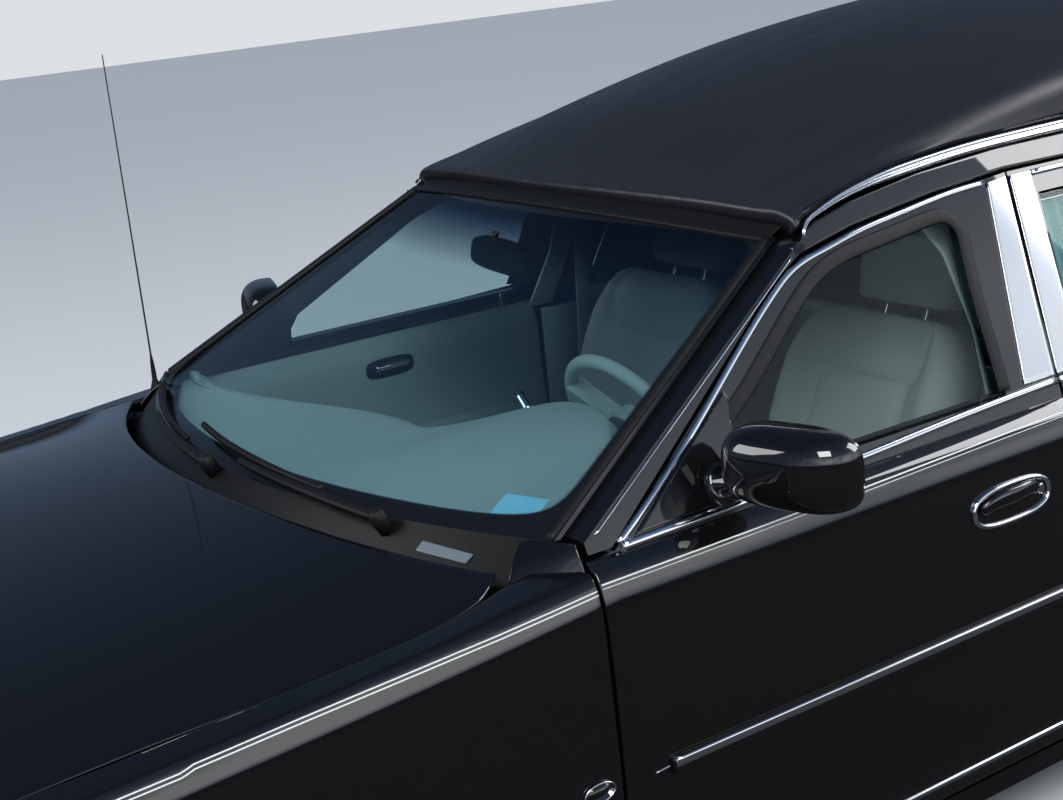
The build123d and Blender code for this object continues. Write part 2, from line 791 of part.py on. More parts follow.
# Floor
FLOOR_HALF = POST_INNER_Y - SEAT
wheel_notch = block((REAR_AXLE_X - 425, REAR_AXLE_X + 425), (640, 1000), (0, 1000))
floor_pan = common(
    without(
        side_prism(
            ((FIREWALL_X - SEAT, 205), (-1000, 205), (-1060, 480), (tail(110), 480), (tail(110), 505),
             (-1042, 505), (-984, 230), (FIREWALL_X - SEAT, 230)), -FLOOR_HALF, FLOOR_HALF,
        ),
        wheel_notch, right_hand(wheel_notch),
    ),
    together(tail_plan(106, 0, 1000), block((-600, 1600), (-900, 900), (0, 1000))),
)

# Rear wheel housings, open to the outside and below
def wheelhouse(axle_x, inner_y, outer_y, floor_z, top_z, half):
    return without(
        block((axle_x - half, axle_x + half), (inner_y, outer_y), (floor_z, top_z)),
        disc_prism(axle_x, TYRE_R, WHEELHOUSE_R, inner_y + 8, outer_y + 10),
        block((axle_x - WHEELHOUSE_R, axle_x + WHEELHOUSE_R), (inner_y + 8, outer_y + 10),
              (0, TYRE_R)),
    )


rear_wheelhouses = both_sides(
    wheelhouse(REAR_AXLE_X, 640 + SEAT, QUARTER_INNER_Y - SEAT, 430, 766, 424)
)
front_wheelhouses = both_sides(
    common(wheelhouse(FRONT_AXLE_X, 486, 880 - SEAT, 420, 764, 424), nose_plan(66, 0, 900))
)

# Exhaust below the floor: pipe, silencer and tail pipe
PIPE_R = 21
PIPE_Y = -250
PIPE_START = (1500, PIPE_Y, 180)
with BuildPart() as exhaust:
    with BuildLine():
        Polyline(
            PIPE_START, (-1100, PIPE_Y, 180), (-1220, PIPE_Y, 436),
            (tail(1100), PIPE_Y, 436), (tail(450), PIPE_Y, 436), (tail(330), PIPE_Y, 296),
            (tail(30), PIPE_Y, 296),
        )
    with BuildSketch(Plane(origin=PIPE_START, z_dir=(-1, 0, 0))):
        Circle(PIPE_R)
    sweep(transition=Transition.ROUND)
    with Locations(((tail(1100) + tail(560)) / 2, PIPE_Y - 40, 430 - SEAT)):
        Box(480, 260, 100)

# Load deck with its side skirts
deck_skirt_zone = block((-600, 100), (-900, 900), (0, 1000))
deck_plan = block((tail(120), 30), (-QUARTER_INNER_Y + SEAT, QUARTER_INNER_Y - SEAT),
                  (DECK_Z - 22, DECK_Z))
door_side = block((DOOR_REAR_X - 4, 40), (790, 1000), (500, 700))
deck_skirt = block((-984, 30), (770, 790), (230 + SEAT, DECK_Z - 22))
casket_deck = without(
    together(common(deck_plan, together(tail_plan(WALL + SEAT, 0, 1000), deck_skirt_zone)),
             deck_skirt, right_hand(deck_skirt)),
    wheel_notch, right_hand(wheel_notch), door_side, right_hand(door_side),
)

# Rollers let into the deck
ROLLER_R = 16
ROLLER_ROWS = 7
rollers_rear, rollers_front = tail(300), -500
with BuildPart() as deck_rollers:
    with Locations(((rollers_rear + rollers_front) / 2, 0, DECK_Z + SEAT + ROLLER_R)):
        with GridLocations((rollers_front - rollers_rear) / (ROLLER_ROWS - 1), 480, ROLLER_ROWS, 2):
            Cylinder(ROLLER_R, 150, rotation=(90, 0, 0))

# Partition behind the front seats
partition = block((40, 70), (-770, 770), (230 + SEAT, 960))

# Front seats
def seat(side):
    """Cushion, back and headrest of one seat."""
    with BuildPart() as made:
        with BuildSketch(Plane.XZ.offset(-(side + 265))):
            with BuildLine():
                Polyline(
                    (930, 300), (960, 500), (900, 560), (470, 520), (360, 1000), (300, 1035),
                    (235, 1000), (330, 480), (380, 300), close=True,
                )
            make_face()
        extrude(amount=530)
        with BuildSketch(Plane.XZ.offset(-(side + 130))):
            with BuildLine():
                Polyline((370, 1060), (330, 1210), (270, 1222), (225, 1190), (250, 1060),
                         close=True)
            make_face()
        extrude(amount=260)
        for y in (side - 60, side + 60):
            add(bar((305, y, 1000), (305, y, 1080), 14, 14))
        add(block((420, 900), (side - 200, side + 200), (230 + SEAT, 320)))
    return made.part


front_seats = both_sides(seat(372))

# Dashboard with the instrument hood and steering column
COLUMN_DIR = (cos(radians(25)), 0, -sin(radians(25)))
STEERING_CENTRE = (1010, 370, 930)


def along_column(distance):
    return tuple(c + distance * d for c, d in zip(STEERING_CENTRE, COLUMN_DIR))


dash_body = side_prism(
    ((1520 - SEAT, 700), (1520 - SEAT, 940), (1440, 968), (1330, 985), (1290, 960), (1300, 700)), -772, 772
)
cluster = side_prism(
    ((1440, 968), (1330, 990), (1180, 1002), (1105, 1000), (1110, 960), (1190, 800), (1330, 760)),
    130, 560,
)
with BuildPart() as column:
    with BuildSketch(Plane(origin=along_column(42), z_dir=COLUMN_DIR)):
        Circle(34)
    extrude(amount=240)
dashboard = together(dash_body, cluster, column.part)

# Steering wheel
with BuildPart() as steering_wheel:
    with BuildSketch(Plane(origin=STEERING_CENTRE, x_dir=(0, 1, 0), z_dir=COLUMN_DIR)):
        Circle(58)
        with PolarLocations(102, 3, start_angle=-90):
            Rectangle(150, 34)
    extrude(amount=20, both=True)
    with Locations(Plane(origin=STEERING_CENTRE, x_dir=(0, 1, 0), z_dir=COLUMN_DIR)):
        Torus(182, 14)
    with BuildSketch(Plane(origin=along_column(15), z_dir=COLUMN_DIR)):
        Circle(30)
    extrude(amount=27 - SEAT)

# Wipers
def on_screen(y, up, lift):
    """Point over the windscreen at a side distance, a way up its slope and a height off it."""
    corner_x, corner_y, corner_z, centre_x, centre_z = SCREEN_BASE
    share = 1 - (y / corner_y) ** 2
    x = corner_x + (centre_x - corner_x) * share
    z = corner_z + (centre_z - corner_z) * share
    run, rise = SCREEN_HEAD[3] - centre_x, SCREEN_HEAD[4] - centre_z
    size = hypot(run, rise)
    return (x + (up * run + lift * rise) / size, y, z + (up * rise - lift * run) / size)


# Pivot and tip of each wiper: side distance and way up the screen
WIPERS = (((540, -26), (-135, 44)), ((30, -14), (-612, 18)))
with BuildPart() as wipers:
    for (pivot_y, pivot_up), (tip_y, tip_up) in WIPERS:
        near_y = pivot_y + 0.25 * (tip_y - pivot_y)
        mid_y = (near_y + tip_y) / 2
        near_up = pivot_up + 0.4 * (tip_up - pivot_up)
        pivot = on_screen(pivot_y, pivot_up, 26)
        centre = on_screen(mid_y, (near_up + tip_up) / 2, 26)
        add(bar(pivot, centre, 10, 14))
        add(bar(on_screen(near_y, near_up, 24), centre, 14, 10))
        add(bar(centre, on_screen(tip_y, tip_up, 24), 14, 10))
        with Locations((pivot[0], pivot[1], pivot[2] - 7.6)):
            Cylinder(13, 37.4)

# Antenna
ANTENNA_PLACE = (1548, -850)
with BuildPart() as antenna:
    with BuildSketch(Plane.XY.offset(928.6)):
        with Locations(ANTENNA_PLACE):
            Circle(11)
    extrude(amount=30, taper=12)
    with BuildSketch(Plane.XY.offset(950)):
        with Locations(ANTENNA_PLACE):
            Circle(3)
    extrude(amount=1740 - 950)

# Front subframe, arms and engine
SUBFRAME_Z = (190, 250)
LOWER_ARM_Z = TYRE_R - 129
UPPER_ARM_Z = TYRE_R + 148
arm = bar((FRONT_AXLE_X, 400, LOWER_ARM_Z), (FRONT_AXLE_X, KINGPIN_Y - 10, LOWER_ARM_Z), 40, 70)
front_subframe = together(
    block((1700, 2600), (-470, -400), SUBFRAME_Z), block((1700, 2600), (400, 470), SUBFRAME_Z),
    block((FRONT_AXLE_X - 60, FRONT_AXLE_X + 60), (-420, 420), SUBFRAME_Z),
    block((2500, 2600), (-420, 420), SUBFRAME_Z),
    block((1546 + SEAT, 1760), (-460, 460), (205, 240)),
    arm, right_hand(arm),
    block((2560, nose(300) - SEAT), (-470, -410), (240, 330)),
    block((2560, nose(300) - SEAT), (410, 470), (240, 330)),
)
engine_block = block((1780, 2480), (-320, 320), (250 + SEAT, 760))

# Upper arms from the wheel housings to the knuckles
upper_arm = block(
    (FRONT_AXLE_X - 20, FRONT_AXLE_X + 20), (494 + SEAT, KINGPIN_Y - 20),
    (UPPER_ARM_Z, UPPER_ARM_Z + 18),
)
front_upper_arms = both_sides(upper_arm)

# Knuckles
knuckle_left = together(
    block((FRONT_AXLE_X - 28, FRONT_AXLE_X + 28), (KINGPIN_Y - 60, KINGPIN_Y - 10),
          (LOWER_ARM_Z + 20 + SEAT, UPPER_ARM_Z - SEAT)),
    disc_prism(FRONT_AXLE_X, TYRE_R, 60, KINGPIN_Y - 20, KINGPIN_Y + 6),
    disc_prism(FRONT_AXLE_X, TYRE_R, 22, KINGPIN_Y - 20, HUB_INNER_Y - SEAT),
)

# Rear axle
rear_axle = together(
    block((REAR_AXLE_X - 45, REAR_AXLE_X + 45), (-620, 620), (300, 390)),
    disc_prism(REAR_AXLE_X, TYRE_R, 22, -REAR_HUB_Y + SEAT, REAR_HUB_Y - SEAT),
    block((REAR_AXLE_X - 40, REAR_AXLE_X + 40), (-520, -440), (380, 480 - SEAT)),
    block((REAR_AXLE_X - 40, REAR_AXLE_X + 40), (440, 520), (380, 480 - SEAT)),
)


# Wheels, turned about the axle
def turned(profile, x, y):
    """Ring or disc turned about an axle across the car; radii and offsets from its middle."""
    with BuildPart() as made:
        with BuildSketch(Plane(origin=(x, y, TYRE_R), x_dir=(0, 1, 0), z_dir=(1, 0, 0))):
            with BuildLine():
                Polyline(*profile, close=True)
            make_face()
        revolve(axis=Axis((x, y, TYRE_R), (0, 1, 0)), revolution_arc=360)
    return made.part


HALF = TYRE_WIDTH / 2
SPOKES = 9
tyre_profile = (
    (-92, RIM_R + SEAT), (-HALF, RIM_R + 60), (-HALF + 6, TYRE_R - 34), (-HALF + 26, TYRE_R - 6),
    (-60, TYRE_R), (60, TYRE_R), (HALF - 26, TYRE_R - 6), (HALF - 6, TYRE_R - 34),
    (HALF, RIM_R + 60), (92, RIM_R + SEAT),
)
rim_profile = (
    (-94, RIM_R), (94, RIM_R), (94, RIM_R - 16), (60, RIM_R - 22), (50, 60), (42, 0.1),
    (-HUB_INSET, 0.1), (-HUB_INSET, 70), (38, RIM_R - 40), (-94, RIM_R - 16),
)


def wheel(x, side, track):
    y = side * track / 2
    tyre = turned([(side * u, r) for u, r in tyre_profile], x, y)
    with BuildPart() as rim:
        add(turned([(side * u, r) for u, r in rim_profile], x, y))
        with BuildSketch(Plane(origin=(x, y, TYRE_R), x_dir=(1, 0, 0), z_dir=(0, side, 0))):
            with PolarLocations((RIM_R + 47) / 2, SPOKES):
                SlotOverall(82, 44)
        extrude(amount=HALF, mode=Mode.SUBTRACT)
    return tyre, rim.part


front_tyre, front_rim = wheel(FRONT_AXLE_X, 1, FRONT_TRACK)
rear_tyre, rear_rim = wheel(REAR_AXLE_X, 1, REAR_TRACK)

# Curtains inside the rear door windows
door_curtain = common(
    long_prism(
        ((skin_y(965) - DOOR_SKIN - SEAT, 965), (skin_y(1322) - DOOR_SKIN - SEAT, 1322),
         (skin_y(1322) - DOOR_SKIN - 12, 1322), (skin_y(965) - DOOR_SKIN - 12, 965)), -700, 400,
    ),
    side_prism(inset(rear_window, -12), 500, 960),
)

PARTS = {
    "floor_pan": floor_pan,
    "front_subframe": front_subframe,
    "engine_block": engine_block,
    "front_upper_arms": front_upper_arms,
    "front_wheelhouses": front_wheelhouses,
    "rear_wheelhouses": rear_wheelhouses,
    "radiator_support": radiator_support,
    "fenders": fenders,
    "front_bumper": front_bumper,
    "grille": grille.part,
    "headlamps": headlamps,
    "cowl_panel": cowl_panel,
    "windshield": windshield,
    "side_frames": side_frames,
    "roof": roof,
    "roof_mouldings": roof_mouldings,
    "quarter_panels": quarter_panels,
    "upper_quarters": upper_quarters,
    "tail_frame": tail_frame,
    "tail_lamps": tail_lamps,
    "rear_bumper": rear_bumper,
    "dashboard": dashboard,
    "front_seats": front_seats,
    "partition": partition,
    "casket_deck": casket_deck,
    "deck_rollers": deck_rollers.part,
    "wipers": wipers.part,
    "antenna": antenna.part,
    "rear_axle": rear_axle,
    "exhaust": exhaust.part,
    "landau_bars": landau_bars,
    "hood": hood,
    "front_door_left": front_door,
    "front_door_right": right_hand(front_door),
    "front_door_glass_left": door_glass(front_window),
    "front_door_glass_right": right_hand(door_glass(front_window)),
    "mirror_left": mirror_left,
    "mirror_right": right_hand(mirror_left),
    "rear_door_left": rear_door,
    "rear_door_right": right_hand(rear_door),
    "rear_door_glass_left": door_glass(rear_window),
    "rear_door_glass_right": right_hand(door_glass(rear_window)),
    "rear_door_curtain_left": door_curtain,
    "rear_door_curtain_right": right_hand(door_curtain),
    "load_door": load_door,
    "load_door_glass": load_door_glass,
    "load_door_curtain": load_door_curtain,
    "steering_wheel": steering_wheel.part,
    "knuckle_left": knuckle_left,
    "knuckle_right": right_hand(knuckle_left),
    "front_left_tyre": front_tyre,
    "front_left_rim": front_rim,
    "front_right_tyre": right_hand(front_tyre),
    "front_right_rim": right_hand(front_rim),
    "rear_left_tyre": rear_tyre,
    "rear_left_rim": rear_rim,
    "rear_right_tyre": right_hand(rear_tyre),
    "rear_right_rim": right_hand(rear_rim),
}
os.makedirs("parts", exist_ok=True)
for name, piece in PARTS.items():
    piece.label = name
    export_step(piece, f"parts/{name}.step")
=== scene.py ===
# %% [markdown]
# # A hearse around its CAD frame
# A hearse is a long saloon with a raised roof over a flat deck. Its solids come packed
# from the CAD model, and this lesson dresses them in panels, bright trim, glass, seats
# and curtains. Panels could be sculpted by hand. Here each is a formula on a grid of
# points, so that every size can be read and changed.
# All sizes are metres: X forward, Y to the car's left, Z up, and the ground at zero.

# %% Start
import bpy
import numpy as np
from mathutils import Matrix, Vector


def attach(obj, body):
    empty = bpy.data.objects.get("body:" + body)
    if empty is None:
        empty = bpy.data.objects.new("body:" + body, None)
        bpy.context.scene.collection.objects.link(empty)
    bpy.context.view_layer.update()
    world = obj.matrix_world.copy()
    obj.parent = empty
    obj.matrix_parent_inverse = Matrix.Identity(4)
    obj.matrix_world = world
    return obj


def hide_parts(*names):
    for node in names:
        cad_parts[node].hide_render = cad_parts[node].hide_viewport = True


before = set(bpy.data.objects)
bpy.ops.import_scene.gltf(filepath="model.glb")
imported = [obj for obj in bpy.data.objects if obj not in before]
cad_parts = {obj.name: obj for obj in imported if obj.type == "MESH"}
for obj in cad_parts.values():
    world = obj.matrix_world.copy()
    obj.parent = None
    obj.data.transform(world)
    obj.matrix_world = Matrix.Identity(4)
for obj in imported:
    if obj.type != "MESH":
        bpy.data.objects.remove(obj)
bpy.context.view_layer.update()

# %% [markdown]
# ## Camera
# The view is from a short way off the left front corner, a little above the roof. A
# camera can be turned by eye until it matches, or solved. This one was solved from
# pairs of matching points on the two sides of the car, which fixes its focus, place and
# turn together. The three arrows below are its right, up and back.

# %% Camera
FRONT_AXLE_X = 2.135
REAR_AXLE_X = -1.555
TYRE_R = 0.344

PHOTO_FOCUS = 1664.97   # pixels
PHOTO_WIDTH = 1063      # pixels
SENSOR_WIDTH = 36.0     # millimetres
camera_data = bpy.data.cameras.new("photo_camera")
camera_data.sensor_fit = "HORIZONTAL"
camera_data.sensor_width = SENSOR_WIDTH
camera_data.lens = SENSOR_WIDTH * PHOTO_FOCUS / PHOTO_WIDTH
camera_data.clip_start = 0.05
camera = bpy.data.objects.new("photo_camera", camera_data)
CAMERA_AT = Vector((FRONT_AXLE_X + 0.7794, 2.9565, 1.9319))
CAMERA_RIGHT = Vector((-0.82276509, 0.5605836, -0.09382769))
CAMERA_UP = Vector((-0.22923413, -0.17621959, 0.95728698))
CAMERA_BACK = Vector((0.52010511, 0.80913082, 0.27349222))
turn = Matrix((CAMERA_RIGHT, CAMERA_UP, CAMERA_BACK)).transposed().to_4x4()
camera.matrix_world = Matrix.Translation(CAMERA_AT) @ turn
bpy.context.scene.collection.objects.link(camera)
bpy.context.scene.camera = camera
print("lens", round(camera_data.lens, 2), "mm")

# %% [markdown]
# ## Shader sums
# Grain, creases and the dark band round the windscreen are patterns, which Blender
# builds from nodes. Wiring Math nodes one by one hides the formula. Wrapping a socket
# as a number, with its own plus and times, lets a pattern read as arithmetic.


# %% Shader sums
class Amount:
    """A shader socket that adds, multiplies and compares like a number.

    Each operation adds one Math node fed by both sides, and wraps its output.
    """

    def __init__(self, look, socket):
        self.look, self.socket = look, socket

    def maths(self, operation, *others):
        """One Math node, with this amount first."""
        return self.look.node("ShaderNodeMath", {"operation": operation},
                              {i: v for i, v in enumerate((self, *others))}).out(0)

    def __add__(self, other):
        return self.maths("ADD", other)

    __radd__ = __add__

    def __mul__(self, other):
        return self.maths("MULTIPLY", other)

    __rmul__ = __mul__

    def __sub__(self, other):
        return self.maths("SUBTRACT", other)

    def __rsub__(self, other):
        return (self * -1.0) + other

    def __truediv__(self, other):
        return self.maths("DIVIDE", other)

    def __rtruediv__(self, other):
        return self.look.node("ShaderNodeMath", {"operation": "DIVIDE"}, {0: other, 1: self}).out(0)

    def __gt__(self, other):
        return self.maths("GREATER_THAN", other)

    def __lt__(self, other):
        return self.maths("LESS_THAN", other)

    def __abs__(self):
        return self.maths("ABSOLUTE")

    def lesser(self, other):
        """The smaller of the two."""
        return self.maths("MINIMUM", other)

    def greater(self, other):
        """The larger of the two."""
        return self.maths("MAXIMUM", other)

    def held(self):
        """Kept between nought and one."""
        return self.lesser(1.0).greater(0.0)


class Placed:
    """A node in a tree, whose outputs are wrapped sockets."""

    def __init__(self, look, node):
        self.look, self.node = look, node

    def out(self, name):
        """One output by name or number."""
        return Amount(self.look, self.node.outputs[name])


print("an amount knows", len(vars(Amount)), "words")

# %% [markdown]
# ## Node trees
# A material and the sky are both trees of nodes. One method places any node, with its
# settings and its links in the same line, and the few sums that come back often, such as
# the point's own coordinates or a blend of two colours, get a method of their own.


# %% Node trees
class Tree:
    """A node tree being built, of a material or of the sky."""

    def __init__(self, tree):
        self.tree = tree
        tree.nodes.clear()

    def node(self, kind, settings=None, values=None):
        """Any node: its type, its settings, and a value or a link for each socket."""
        made = self.tree.nodes.new(kind)
        for key, value in (settings or {}).items():
            setattr(made, key, value)
        for key, value in (values or {}).items():
            if isinstance(value, Amount):
                self.tree.links.new(value.socket, made.inputs[key])
            else:
                made.inputs[key].default_value = value
        return Placed(self, made)

    def place(self, space="Object"):
        """The point's own coordinates, as a vector and as three numbers."""
        spot = self.node("ShaderNodeTexCoord").out(space)
        split = self.node("ShaderNodeSeparateXYZ", None, {0: spot})
        return spot, split.out(0), split.out(1), split.out(2)

    def blend(self, share, low, high):
        """Colour at a share of the way from the low one to the high one."""
        return self.node("ShaderNodeMix", {"data_type": "RGBA"}, {0: share, 6: low, 7: high}).out(2)


class Look(Tree):
    """One material being built: its nodes, and the shader that ends it."""

    def __init__(self, name):
        self.material = bpy.data.materials.new(name)
        self.material.use_nodes = True
        super().__init__(self.material.node_tree)
        self.output = self.tree.nodes.new("ShaderNodeOutputMaterial")

    def bump(self, height, strength, distance):
        """Surface directions tilted by the slope of a height."""
        return self.node("ShaderNodeBump", None,
                         {"Height": height, "Strength": strength, "Distance": distance}).out(0)

    def surface(self, **values):
        """Ends the material with one principled surface."""
        keys = {"color": "Base Color", "rough": "Roughness", "metal": "Metallic",
                "coat": "Coat Weight", "coat_rough": "Coat Roughness", "coat_ior": "Coat IOR",
                "normal": "Normal", "specular": "Specular IOR Level", "sheen": "Sheen Weight"}
        shader = self.node("ShaderNodeBsdfPrincipled", None,
                           {keys[k]: v for k, v in values.items()})
        return self.finish(shader.out(0))

    def finish(self, shader):
        """Ends the material with any shader."""
        self.tree.links.new(shader.socket, self.output.inputs[0])
        return self.material


def rgb(r, g, b):
    """Colour from three linear shares of light, fully opaque."""
    return (r, g, b, 1.0)


print("white is", rgb(1.0, 1.0, 1.0))

# %% [markdown]
# ## Plain and grained surfaces
# Paint and metal are the same all over. Leather, rubber and moulded trim have pebbles a
# millimetre or two across, which show only as a soft sparkle. A photographed texture
# could carry them, but would need a file. Cells of noise make them at any size.


# %% Plain and grained surfaces
def plain(name, color, rough, **more):
    """Surface that is the same all over."""
    return Look(name).surface(color=color, rough=rough, **more)


def grained(name, color, rough, size, depth):
    """Surface with a pebbled grain: distance to the cells' edges, cut off at a height.

    Soft clouds of noise vary the gloss by a few hundredths either way.
    """
    look = Look(name)
    spot, _, _, _ = look.place()
    grain = look.node("ShaderNodeTexVoronoi", {"feature": "DISTANCE_TO_EDGE"},
                      {"Vector": spot, "Scale": 1.0 / size}).out("Distance")
    cloud = look.node("ShaderNodeTexNoise", None, {"Vector": spot, "Scale": 6.0}).out(0)
    normal = look.bump(grain.lesser(0.35), 0.5, depth)
    return look.surface(color=color, rough=(cloud - 0.5) * 0.12 + rough, specular=0.25,
                        normal=normal)


print("a grain of 1 mm has a scale of", 1.0 / 0.001)

# %% [markdown]
# ## Roof vinyl
# The padded roof is covered in long lengths of grained black cloth, sewn together along
# the car. Three pressed seams show where they join, and the stretched cloth has soft
# creases between them. Real folds in the mesh would be too heavy, so they are bumps.


# %% Roof vinyl
def roof_vinyl():
    """Leather-grained black cloth with three pressed seams and soft fore-and-aft creases.

    A seam's height falls from one to nought over two or three millimetres either side of
    its line. A crease is noise stretched along the car. Both tilt the grain's directions.
    """
    look = Look("vinyl")
    spot, x, y, z = look.place()
    grain = look.node("ShaderNodeTexVoronoi", {"feature": "DISTANCE_TO_EDGE"},
                      {"Vector": spot, "Scale": 520.0}).out("Distance").lesser(0.35)
    creases = look.node("ShaderNodeCombineXYZ", None, {0: x * 1.3, 1: y * 9.0, 2: z * 4.0}).out(0)
    crease = look.node("ShaderNodeTexNoise", None,
                       {"Vector": creases, "Scale": 1.6, "Detail": 3.0}).out(0)
    seam = (1.0 - abs(y - 0.41) / 0.003).greater(1.0 - abs(y + 0.11) / 0.002)
    seam = seam.greater(1.0 - abs(y + 0.52) / 0.003).held() * (z > 1.37)
    fine = look.bump(grain, 0.35, 0.0004)
    height = seam * 0.0012 + crease * 0.004
    normal = look.node("ShaderNodeBump", None, {"Height": height, "Strength": 0.75,
                                                "Distance": 1.0, "Normal": fine}).out(0)
    rough = (crease - 0.5) * 0.25 + 0.4
    return look.surface(color=rgb(0.012, 0.013, 0.016), rough=rough, specular=0.6, normal=normal)


print("vinyl ready")

# %% [markdown]
# ## Glass
# A glass shader that bends light darkens everything behind a double pane, and is slow.
# A car's glass is thin, so light goes nearly straight through: a tinted clear view with
# a small steady share of mirror is enough, and stays free of noise.


# %% Glass
def pane(look, tint, mirror, sheen, rough):
    """Thin glass: a share of mirror over a tinted view through."""
    through = look.node("ShaderNodeBsdfTransparent", None, {0: tint}).out(0)
    gloss = look.node("ShaderNodeBsdfGlossy", None, {"Color": sheen, "Roughness": rough}).out(0)
    return look.node("ShaderNodeMixShader", None, {0: mirror, 1: through, 2: gloss}).out(0)


def clear(name, tint, mirror):
    """Material of one thin pane, with a cool reflection."""
    look = Look(name)
    return look.finish(pane(look, tint, mirror, rgb(0.9, 0.95, 0.97), 0.02))


print("glass ready")

# %% [markdown]
# ## Materials
# The car is gloss black paint under lacquer, with a padded roof in black vinyl, polished
# bright metal, faintly green glass, rubber, soft grey trim, pale leather and teal cloth.
# The paint is nearly black and dull, and all its gloss is in the coat above it, as on
# the real car. The CAD model's own pieces take the look that their slot is named after.


# %% Materials
LOOKS = {
    "black_paint": plain("black_paint", rgb(0.0025, 0.0025, 0.003), 0.4, specular=0.05,
                         coat=1.0, coat_rough=0.015, coat_ior=1.7),
    "vinyl": roof_vinyl(),
    "bright_metal": plain("bright_metal", rgb(0.78, 0.79, 0.81), 0.07, metal=1.0),
    "clear_glass": clear("clear_glass", rgb(0.86, 0.91, 0.9), 0.02),
    "lamp_lens": clear("lamp_lens", rgb(0.9, 0.92, 0.94), 0.14),
    "red_lens": plain("red_lens", rgb(0.35, 0.006, 0.008), 0.08, coat=1.0),
    "black_plastic": grained("black_plastic", rgb(0.006, 0.006, 0.0065), 0.5, 0.0012, 0.0003),
    "grey_trim": grained("grey_trim", rgb(0.36, 0.41, 0.39), 0.6, 0.0015, 0.0003),
    "seat_leather": grained("seat_leather", rgb(0.31, 0.33, 0.31), 0.5, 0.0022, 0.0003),
    "curtain_cloth": plain("curtain_cloth", rgb(0.09, 0.25, 0.27), 0.85, sheen=0.4),
    "tyre_rubber": grained("tyre_rubber", rgb(0.014, 0.014, 0.014), 0.75, 0.001, 0.0002),
    "wheel_alloy": plain("wheel_alloy", rgb(0.6, 0.61, 0.62), 0.25, metal=1.0),
    "chassis_steel": plain("chassis_steel", rgb(0.02, 0.02, 0.02), 0.5),
    "cast_metal": plain("cast_metal", rgb(0.12, 0.12, 0.12), 0.5, metal=0.8),
    "deck_laminate": plain("deck_laminate", rgb(0.16, 0.08, 0.04), 0.25, coat=0.6),
    "frit": plain("frit", rgb(0.003, 0.003, 0.003), 0.4, specular=0.3),
    "stripe": plain("stripe", rgb(0.7, 0.7, 0.68), 0.35),
}
BRIGHT, PAINT, PLASTIC = "bright_metal", "black_paint", "black_plastic"
TRIM, LEATHER = "grey_trim", "seat_leather"
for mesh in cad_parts.values():
    for slot in mesh.material_slots:
        name = slot.material.name.split(".")[0] if slot.material else ""
        if name in LOOKS:
            slot.material = LOOKS[name]
print("materials", len(LOOKS))

# %% [markdown]
# ## Curves
# Pressed steel and bent trim bend evenly, with no kink where one arc meets the next.
# Blender's own curves could be traced by hand. A natural cubic through a few measured
# points gives the same evenness, as numbers that other formulas can use.


# %% Curves
AHEAD, LEFT, UP = np.eye(3)


def flow(points, count, knots=None):
    """Points on the natural cubic curve through the given ones.

    The bends at the knots solve one linear system, in which each bend and its two
    neighbours balance the change of slope. The count is either how many even steps to
    take or the very places to read.
    """
    p = np.asarray(points, float)
    n = len(p)
    k = np.arange(n, dtype=float) if knots is None else np.asarray(knots, float)
    h = np.diff(k)
    rows = np.arange(1, n - 1)
    system = np.zeros((n, n))
    system[0, 0] = system[-1, -1] = 1
    system[rows, rows - 1], system[rows, rows + 1] = h[:-1], h[1:]
    system[rows, rows] = 2 * (h[:-1] + h[1:])
    flat = p.reshape(n, -1)
    slope = np.diff(flat, axis=0) / h[:, None]
    side = np.zeros_like(flat)
    side[1:-1] = 6 * np.diff(slope, axis=0)
    bend = np.linalg.solve(system, side)
    t = np.linspace(k[0], k[-1], count) if np.isscalar(count) else np.asarray(count, float)
    i = np.clip(np.searchsorted(k, t, side="right") - 1, 0, n - 2)
    a, b = (k[i + 1] - t)[:, None], (t - k[i])[:, None]
    w = h[i][:, None]
    made = (bend[i] * a ** 3 + bend[i + 1] * b ** 3) / (6 * w) \
        + (flat[i] / w - bend[i] * w / 6) * a + (flat[i + 1] / w - bend[i + 1] * w / 6) * b
    return made.reshape(len(t), *p.shape[1:])


def lengths(path):
    """Distance along a path at each of its points."""
    return np.concatenate([[0], np.cumsum(np.linalg.norm(np.diff(path, axis=0), axis=1))])


def even(path, count):
    """The path again, with points spaced evenly by its length."""
    run = lengths(path)
    at = np.linspace(0, run[-1], count)
    return np.stack([np.interp(at, run, path[:, c]) for c in range(path.shape[1])], axis=1)


def unit(v):
    """Each vector over its own length."""
    return v / np.maximum(np.linalg.norm(v, axis=-1, keepdims=True), 1e-12)


quarter = np.linspace(0, np.pi / 2, 50)
quarter = np.stack([np.cos(quarter), np.sin(quarter)], axis=1)
print("a quarter turn has a length of", round(float(lengths(quarter)[-1]), 3))

# %% [markdown]
# ## Meshes
# A sheet of metal is a grid of points with squares between them. One helper numbers the
# squares' corners, one makes the mesh in a single call, and one checks which way the
# faces look, because light and export both need them outwards.


# %% Meshes
def cells(rows, columns, start=0, turn_rows=False, turn_columns=False, flip=False):
    """Corner numbers of the squares in a grid, which may close on itself either way.

    The square at row r and column c joins that point to its neighbours at r + 1, c + 1.
    """
    r = np.arange(rows if turn_rows else rows - 1)[:, None]
    c = np.arange(columns if turn_columns else columns - 1)[None, :]
    r2, c2 = (r + 1) % rows, (c + 1) % columns
    faces = np.stack(np.broadcast_arrays(
        r * columns + c, r * columns + c2, r2 * columns + c2, r2 * columns + c), axis=-1)
    faces = faces.reshape(-1, 4) + start
    return faces[:, ::-1] if flip else faces


